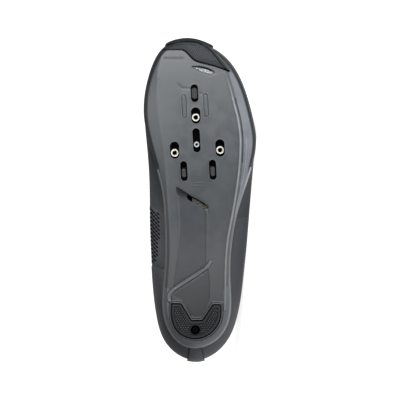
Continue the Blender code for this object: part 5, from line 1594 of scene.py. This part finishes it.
def buildToePad(materials):
    outline = spaced(roundedOutline(toePadOutline, soleLook["toePadCorner"]), 1.2)
    field = outset(outline, -padLook["toeFrame"])

    def baseAt(plan):
        # Follows the sole, over its bevel and round its edge
        toRidge = np.clip(signedDistance(plan, ridgeRing), 0.0, None)
        toEdge = signedDistance(plan, soleEdgeRing)
        share = toRidge / np.maximum(toRidge + np.clip(-toEdge, 0.0, None), 1e-6)
        height = bottomHeight(plan[:, 1]) + padLook["bevelRise"] * share**padLook["bevelFullness"]
        return height - padLook["toeProud"] + np.clip(toEdge, 0.0, None) * padLook["edgeFall"]

    def studs(verts, faces):
        pitch, gap, rise = padLook["toeStudPitch"], padLook["toeStudGap"], padLook["toeStudRise"]
        floor = lambda plan: baseAt(plan) + 0.02
        allowed = lambda centre: padLook["toeStudsFrom"] < centre[0] < padLook["toeStudsTo"]
        addStuds(verts, faces, field, pitch, gap, rise, floor, allowed)

    profile = [(-1.2, 0.0), (-0.5, 0.15), (0.0, 0.6)]
    seam, bevel = curved(padLook["seam"], 1.2), curved(padLook["bevel"], 1.2)

    def tintAt(centres):
        # Dark along the seam and beyond it under the guard, and a pale line along the outer bevel, a painted
        # highlight
        order = np.argsort(seam[:, 0])
        beyond = centres[:, 1] > np.interp(centres[:, 0], seam[order, 0], seam[order, 1])
        tint = np.zeros(len(centres), int)
        tint[beyond & (centres[:, 0] > padLook["seamGuardFrom"])] = 2
        tint[distanceTo(centres, bevel, False) < padLook["bevelHalf"]] = 3
        tint[distanceTo(centres, seam, False) < padLook["seamHalf"]] = 2
        return tint

    lines = []
    for line, half in ((seam, padLook["seamHalf"]), (bevel, padLook["bevelHalf"])):
        lines += [(offsetLine(line, side, False), False) for side in (-half, half)]
    sunk = lambda plan: baseAt(plan) + np.interp(distanceTo(plan, seam, False), [0.3, 0.8], [0.6, 0.0])
    padPiece(
        "toe_pad_tread", outline, None, profile, sunk, padLook["toeTall"], studs, materials, tintAt, lines,
        ["toe_pad"],
    )


# Metal pieces
def turnedPiece(name, profile, place, material, closed, radiusAt=None):
    # A profile of (radius, height) turned round an upright line, in the place of a solid of that name
    segments, verts = 60, []
    for k in range(segments):
        angle = math.tau * k / segments
        for radius, height in profile:
            if radiusAt:
                radius = radiusAt(radius, height, angle)
            verts.append((place[0] + radius * math.cos(angle), place[1] + radius * math.sin(angle), height))
    faces = gridFaces(segments, len(profile), closedColumns=True, closedRows=closed)
    makePiece(name + "_turned", verts, faces, [material], [name], 28.0)


nutLook = {
    "cleat": {"body": 3.5, "bore": 2.0, "flange": 5.5, "thread": 0.8},
    "centre_nut": {"body": 2.5, "bore": 1.2, "flange": 4.25, "thread": 0.5},
}


def buildNuts(material, paleMaterial):
    for name, share in nutPlaces.items():
        sizes = nutLook.get(name, nutLook["cleat"])
        place = planPlace(share)
        low, top = nutHeights(place)
        body, bore, flange, thread = sizes["body"], sizes["bore"], sizes["flange"], sizes["thread"]
        under = top - nutSolid["flangeHeight"]
        profile = [
            (flange, top - 0.1), (flange, under + 0.1), (flange - 0.15, under), (body, under),
            (body, low + 0.5), (body - 0.12, low + 0.2), (body - 0.4, low), (bore + 0.55, low),
            (bore + 0.1, low + 0.4),
        ]
        # The thread: crests and roots down the bore
        for k, height in enumerate(np.arange(low + 0.4, top - 0.2, thread / 2.0)):
            profile.append((bore + (0.25 if k % 2 else 0.0), height))
        profile += [(bore, top), (flange - 0.1, top)]
        plating = paleMaterial if name == "centre_nut" else material
        turnedPiece(name, profile, place, plating, True)


def buildScrew(material):
    # A button head with a six-sided socket
    low = heelPadHeight() - padLook["heelProud"] + screwLook["sink"]
    tip = heelPadHeight() + screwLook["reach"]
    head, shank, socket = screwLook["head"], screwLook["shank"], screwLook["socket"]
    profile = [
        (0.0, tip), (shank - 0.3, tip), (shank, tip - 0.4), (shank, low + 2.2), (head, low + 2.2),
        (head, low + 1.1), (head - 0.2, low + 0.6), (head - 0.7, low + 0.22), (head - 1.4, low),
        (socket + 0.15, low), (socket, low + 0.12), (socket, low + 1.3), (0.0, low + 1.5),
    ]

    def sixSided(radius, height, angle):
        if radius == socket:
            half = math.pi / 6.0
            turn = (angle + half) % (2.0 * half) - half
            return radius * math.cos(half) / math.cos(turn)
        return radius

    turnedPiece("heel_pad_screw", profile, screwPlace, material, False, sixSided)


meshLook = {"pitch": 0.95, "wire": 0.22, "wave": 0.2, "overlap": 0.15, "shortest": 3}
# The weave's turn in degrees, its depth at the heel and toe sides, the share of the way along and how far to
# the inner side it shows
meshPlaces = {
    "toe_vent_mesh": {
        "outline": toeVentOutline, "turn": 38.0, "depths": (0.7, 2.6), "share": 0.74, "inner": 99.0,
    },
    "mid_vent_mesh": {
        "outline": midVentOutline, "turn": 12.0, "depths": (1.1, 2.6), "share": 0.8, "inner": 3.4,
    },
}


def buildMesh(name, material):
    # Woven wire, over and under, cut to the vent's outline; it slopes down towards the toe side
    place = meshPlaces[name]
    shallow, deep = place["depths"]
    outline = roundedOutline(place["outline"], soleLook["ventCorner"])
    opening = outset(outline, meshLook["overlap"])
    middle = outline.mean(axis=0)
    reach = float(np.linalg.norm(outline - middle, axis=1).max()) + 1.0
    ring = spaced(outline, 0.4)
    across = np.linspace(ring[:, 0].min(), ring[:, 0].max(), 40)
    near = np.abs(ring[:, 0][None, :] - across[:, None]) < 0.7
    heelSide = np.where(near, ring[:, 1][None, :], 1e3).min(axis=1)
    toeSide = np.where(near, ring[:, 1][None, :], -1e3).max(axis=1)
    verts, faces = [], []
    pitch = meshLook["pitch"]
    for family in (0, 1):
        angle = math.radians(place["turn"]) + family * math.pi / 2.0
        ahead = np.array([math.cos(angle), math.sin(angle)])
        aside = np.array([-ahead[1], ahead[0]])
        for k in range(-int(reach / pitch), int(reach / pitch) + 1):
            t = np.arange(-reach, reach, pitch / 4.0)
            plan = middle + aside * k * pitch + t[:, None] * ahead
            low, high = np.interp(plan[:, 0], across, heelSide), np.interp(plan[:, 0], across, toeSide)
            climb = np.clip((plan[:, 1] - low) / np.maximum(high - low, 0.1), 0.0, 1.0)
            inside = isInside(plan, opening) & (climb < place["share"]) & (plan[:, 0] < place["inner"])
            wave = meshLook["wave"] * np.cos(math.pi * (t / pitch + k + family))
            height = bottomHeight(plan[:, 1]) + shallow + (deep - shallow) * climb + wave
            start = None
            for m in range(len(t) + 1):
                if m < len(t) and inside[m]:
                    start = m if start is None else start
                elif start is not None:
                    if m - start >= meshLook["shortest"]:
                        addTube(verts, faces, raised(plan[start:m], height[start:m]), meshLook["wire"], 6)
                    start = None
    makePiece(name + "_woven", verts, faces, [material], [name], 60.0)


# Camera, lights and floor
view = {"distance": 8.0, "span": 350.2, "middle": (-3.5, 142.4, 6.0)}
studio = {"worldStrength": 0.36, "floorSize": 60.0, "floorGlow": 0.84, "aimHeight": 0.05}
lights = {
    "toeKey": {"place": (0.95, -0.95, 0.42), "size": 0.8, "power": 12.5},
    "overhead": {"place": (0.25, -0.9, 1.5), "size": 1.2, "power": 5.0},
    "front": {"place": (0.5, -2.8, 0.6), "size": 1.4, "power": 7.0},
}


def buildStudio():
    scene = bpy.context.scene
    scene.view_settings.view_transform = "Standard"
    target = shoeMatrix @ Vector([value * 0.001 for value in view["middle"]])
    away = shoeMatrix.to_3x3() @ Vector((0.0, 0.0, 1.0))
    toe = shoeMatrix.to_3x3() @ Vector((0.0, 1.0, 0.0))
    right = away.cross(toe)
    data = bpy.data.cameras.new("camera")
    data.lens = data.sensor_width * view["distance"] / (view["span"] * 0.001)
    data.clip_end = 100.0
    camera = bpy.data.objects.new("camera", data)
    scene.collection.objects.link(camera)
    turn = Matrix((right, toe, -away)).transposed().to_4x4()
    camera.matrix_world = Matrix.Translation(target - away * view["distance"]) @ turn
    scene.camera = camera
    for name, values in lights.items():
        lamp = bpy.data.lights.new(name, "AREA")
        lamp.shape = "DISK"
        lamp.size = values["size"]
        lamp.energy = values["power"]
        holder = bpy.data.objects.new(name, lamp)
        holder.location = values["place"]
        aim = Vector((0.0, 0.0, studio["aimHeight"])) - holder.location
        holder.rotation_euler = aim.to_track_quat("-Z", "Y").to_euler()
        scene.collection.objects.link(holder)
    world = bpy.data.worlds.new("studio")
    world.use_nodes = True
    background = world.node_tree.nodes["Background"]
    background.inputs["Color"].default_value = (1.0, 1.0, 1.0, 1.0)
    background.inputs["Strength"].default_value = studio["worldStrength"]
    scene.world = world
    bpy.ops.mesh.primitive_plane_add(size=studio["floorSize"], location=(0.0, 0.0, 0.0))
    floor = bpy.context.active_object
    floor.name = "floor"
    material, _, shader, _ = newMaterial("paleMattFloor", "#f4f4f4", 0.9)
    shader.inputs["Emission Color"].default_value = (1.0, 1.0, 1.0, 1.0)
    shader.inputs["Emission Strength"].default_value = studio["floorGlow"]
    floor.data.materials.append(material)


buildStudio()
print("camera, lights and floor are in")
shadedWall, _, shadedShader, _ = newMaterial("shadedSlotWall", "#040405", 0.8)
shadedShader.inputs["Specular IOR Level"].default_value = 0.05
# In the order of soleSlots
soleSkins = [mouldedNylon("mouldedNylon" + part) for part in (
    "Sole", "Side", "Ridge", "Groove", "Panel", "Backing", "Bevel", "Rim", "Edge",
)]
buildSole([soleSkins[0], shadedWall] + soleSkins[1:])
print("sole is made")
upperSkin = microfibre("coatedMicrofibre", "#22252b", "#393a3c", 0.5)
lining = textile("spacerLining", "#1a1b1d", "#131416", 0.9, 0.12)
counterSkin = microfibre("coatedCounter", "#292c34", "#3d3d3f", 0.45)
strapSkin = microfibre("strapMicrofibre", "#212329", "#2a2b2e", 0.42)
thread = textile("blackThread", "#0f1011", "#0a0a0b", 0.5, 0.05)
buildUpper(upperSkin, lining)
buildPerforatedPanel(upperSkin, rubber("shadedPerforation", "#050506", "#040405", 0.8, 0.05))
buildCounter(counterSkin)
buildStrip(counterSkin, rubber("blackPiping", "#060607", "#040405", 0.6))
buildGuard(rubber("blackGuardRubber", "#1b1c1e", "#161719", 0.7, 0.2))
buildStraps(strapSkin, thread)
buildTongue(textile("tongueTextile", "#1b1c1f", "#141517", 1.1, 0.16))
buildInsole(textile("insoleTextile", "#2b2c2f", "#222326", 1.0, 0.1))
print("upper, overlays, straps, tongue and insole are made")
buildHeelPad([
    rubber("blackPadRubber", "#060607", "#050506", 0.7),
    rubber("scuffedPadStuds", "#3a3c41", "#2c2e32", 0.45),
    rubber("greyPadFrame", "#1e2022", "#18191b", 0.55),
])
buildToePad([
    rubber("blueGreyToeRubber", "#1b2025", "#171b20", 0.55),
    rubber("blueGreyToeStuds", "#353b43", "#2f353c", 0.5),
    rubber("blackToeSeam", "#070808", "#050606", 0.7, 0.1),
    rubber("paleToeBevelHighlight", "#5a5f66", "#53585e", 0.45),
])
buildNuts(satinMetal("nickelPlatedNut", "#e4e0d4", 0.25), satinMetal("paleNickelNut", "#c3d0d4", 0.3))
buildScrew(satinMetal("blackenedScrew", "#0b0b0c", 0.4))
buildMesh("toe_vent_mesh", satinMetal("wovenSteelMesh", "#cdd0d1", 0.3))
buildMesh("mid_vent_mesh", satinMetal("oliveSteelMesh", "#706f67", 0.4))
print("pads, nuts, screw and vents are made")
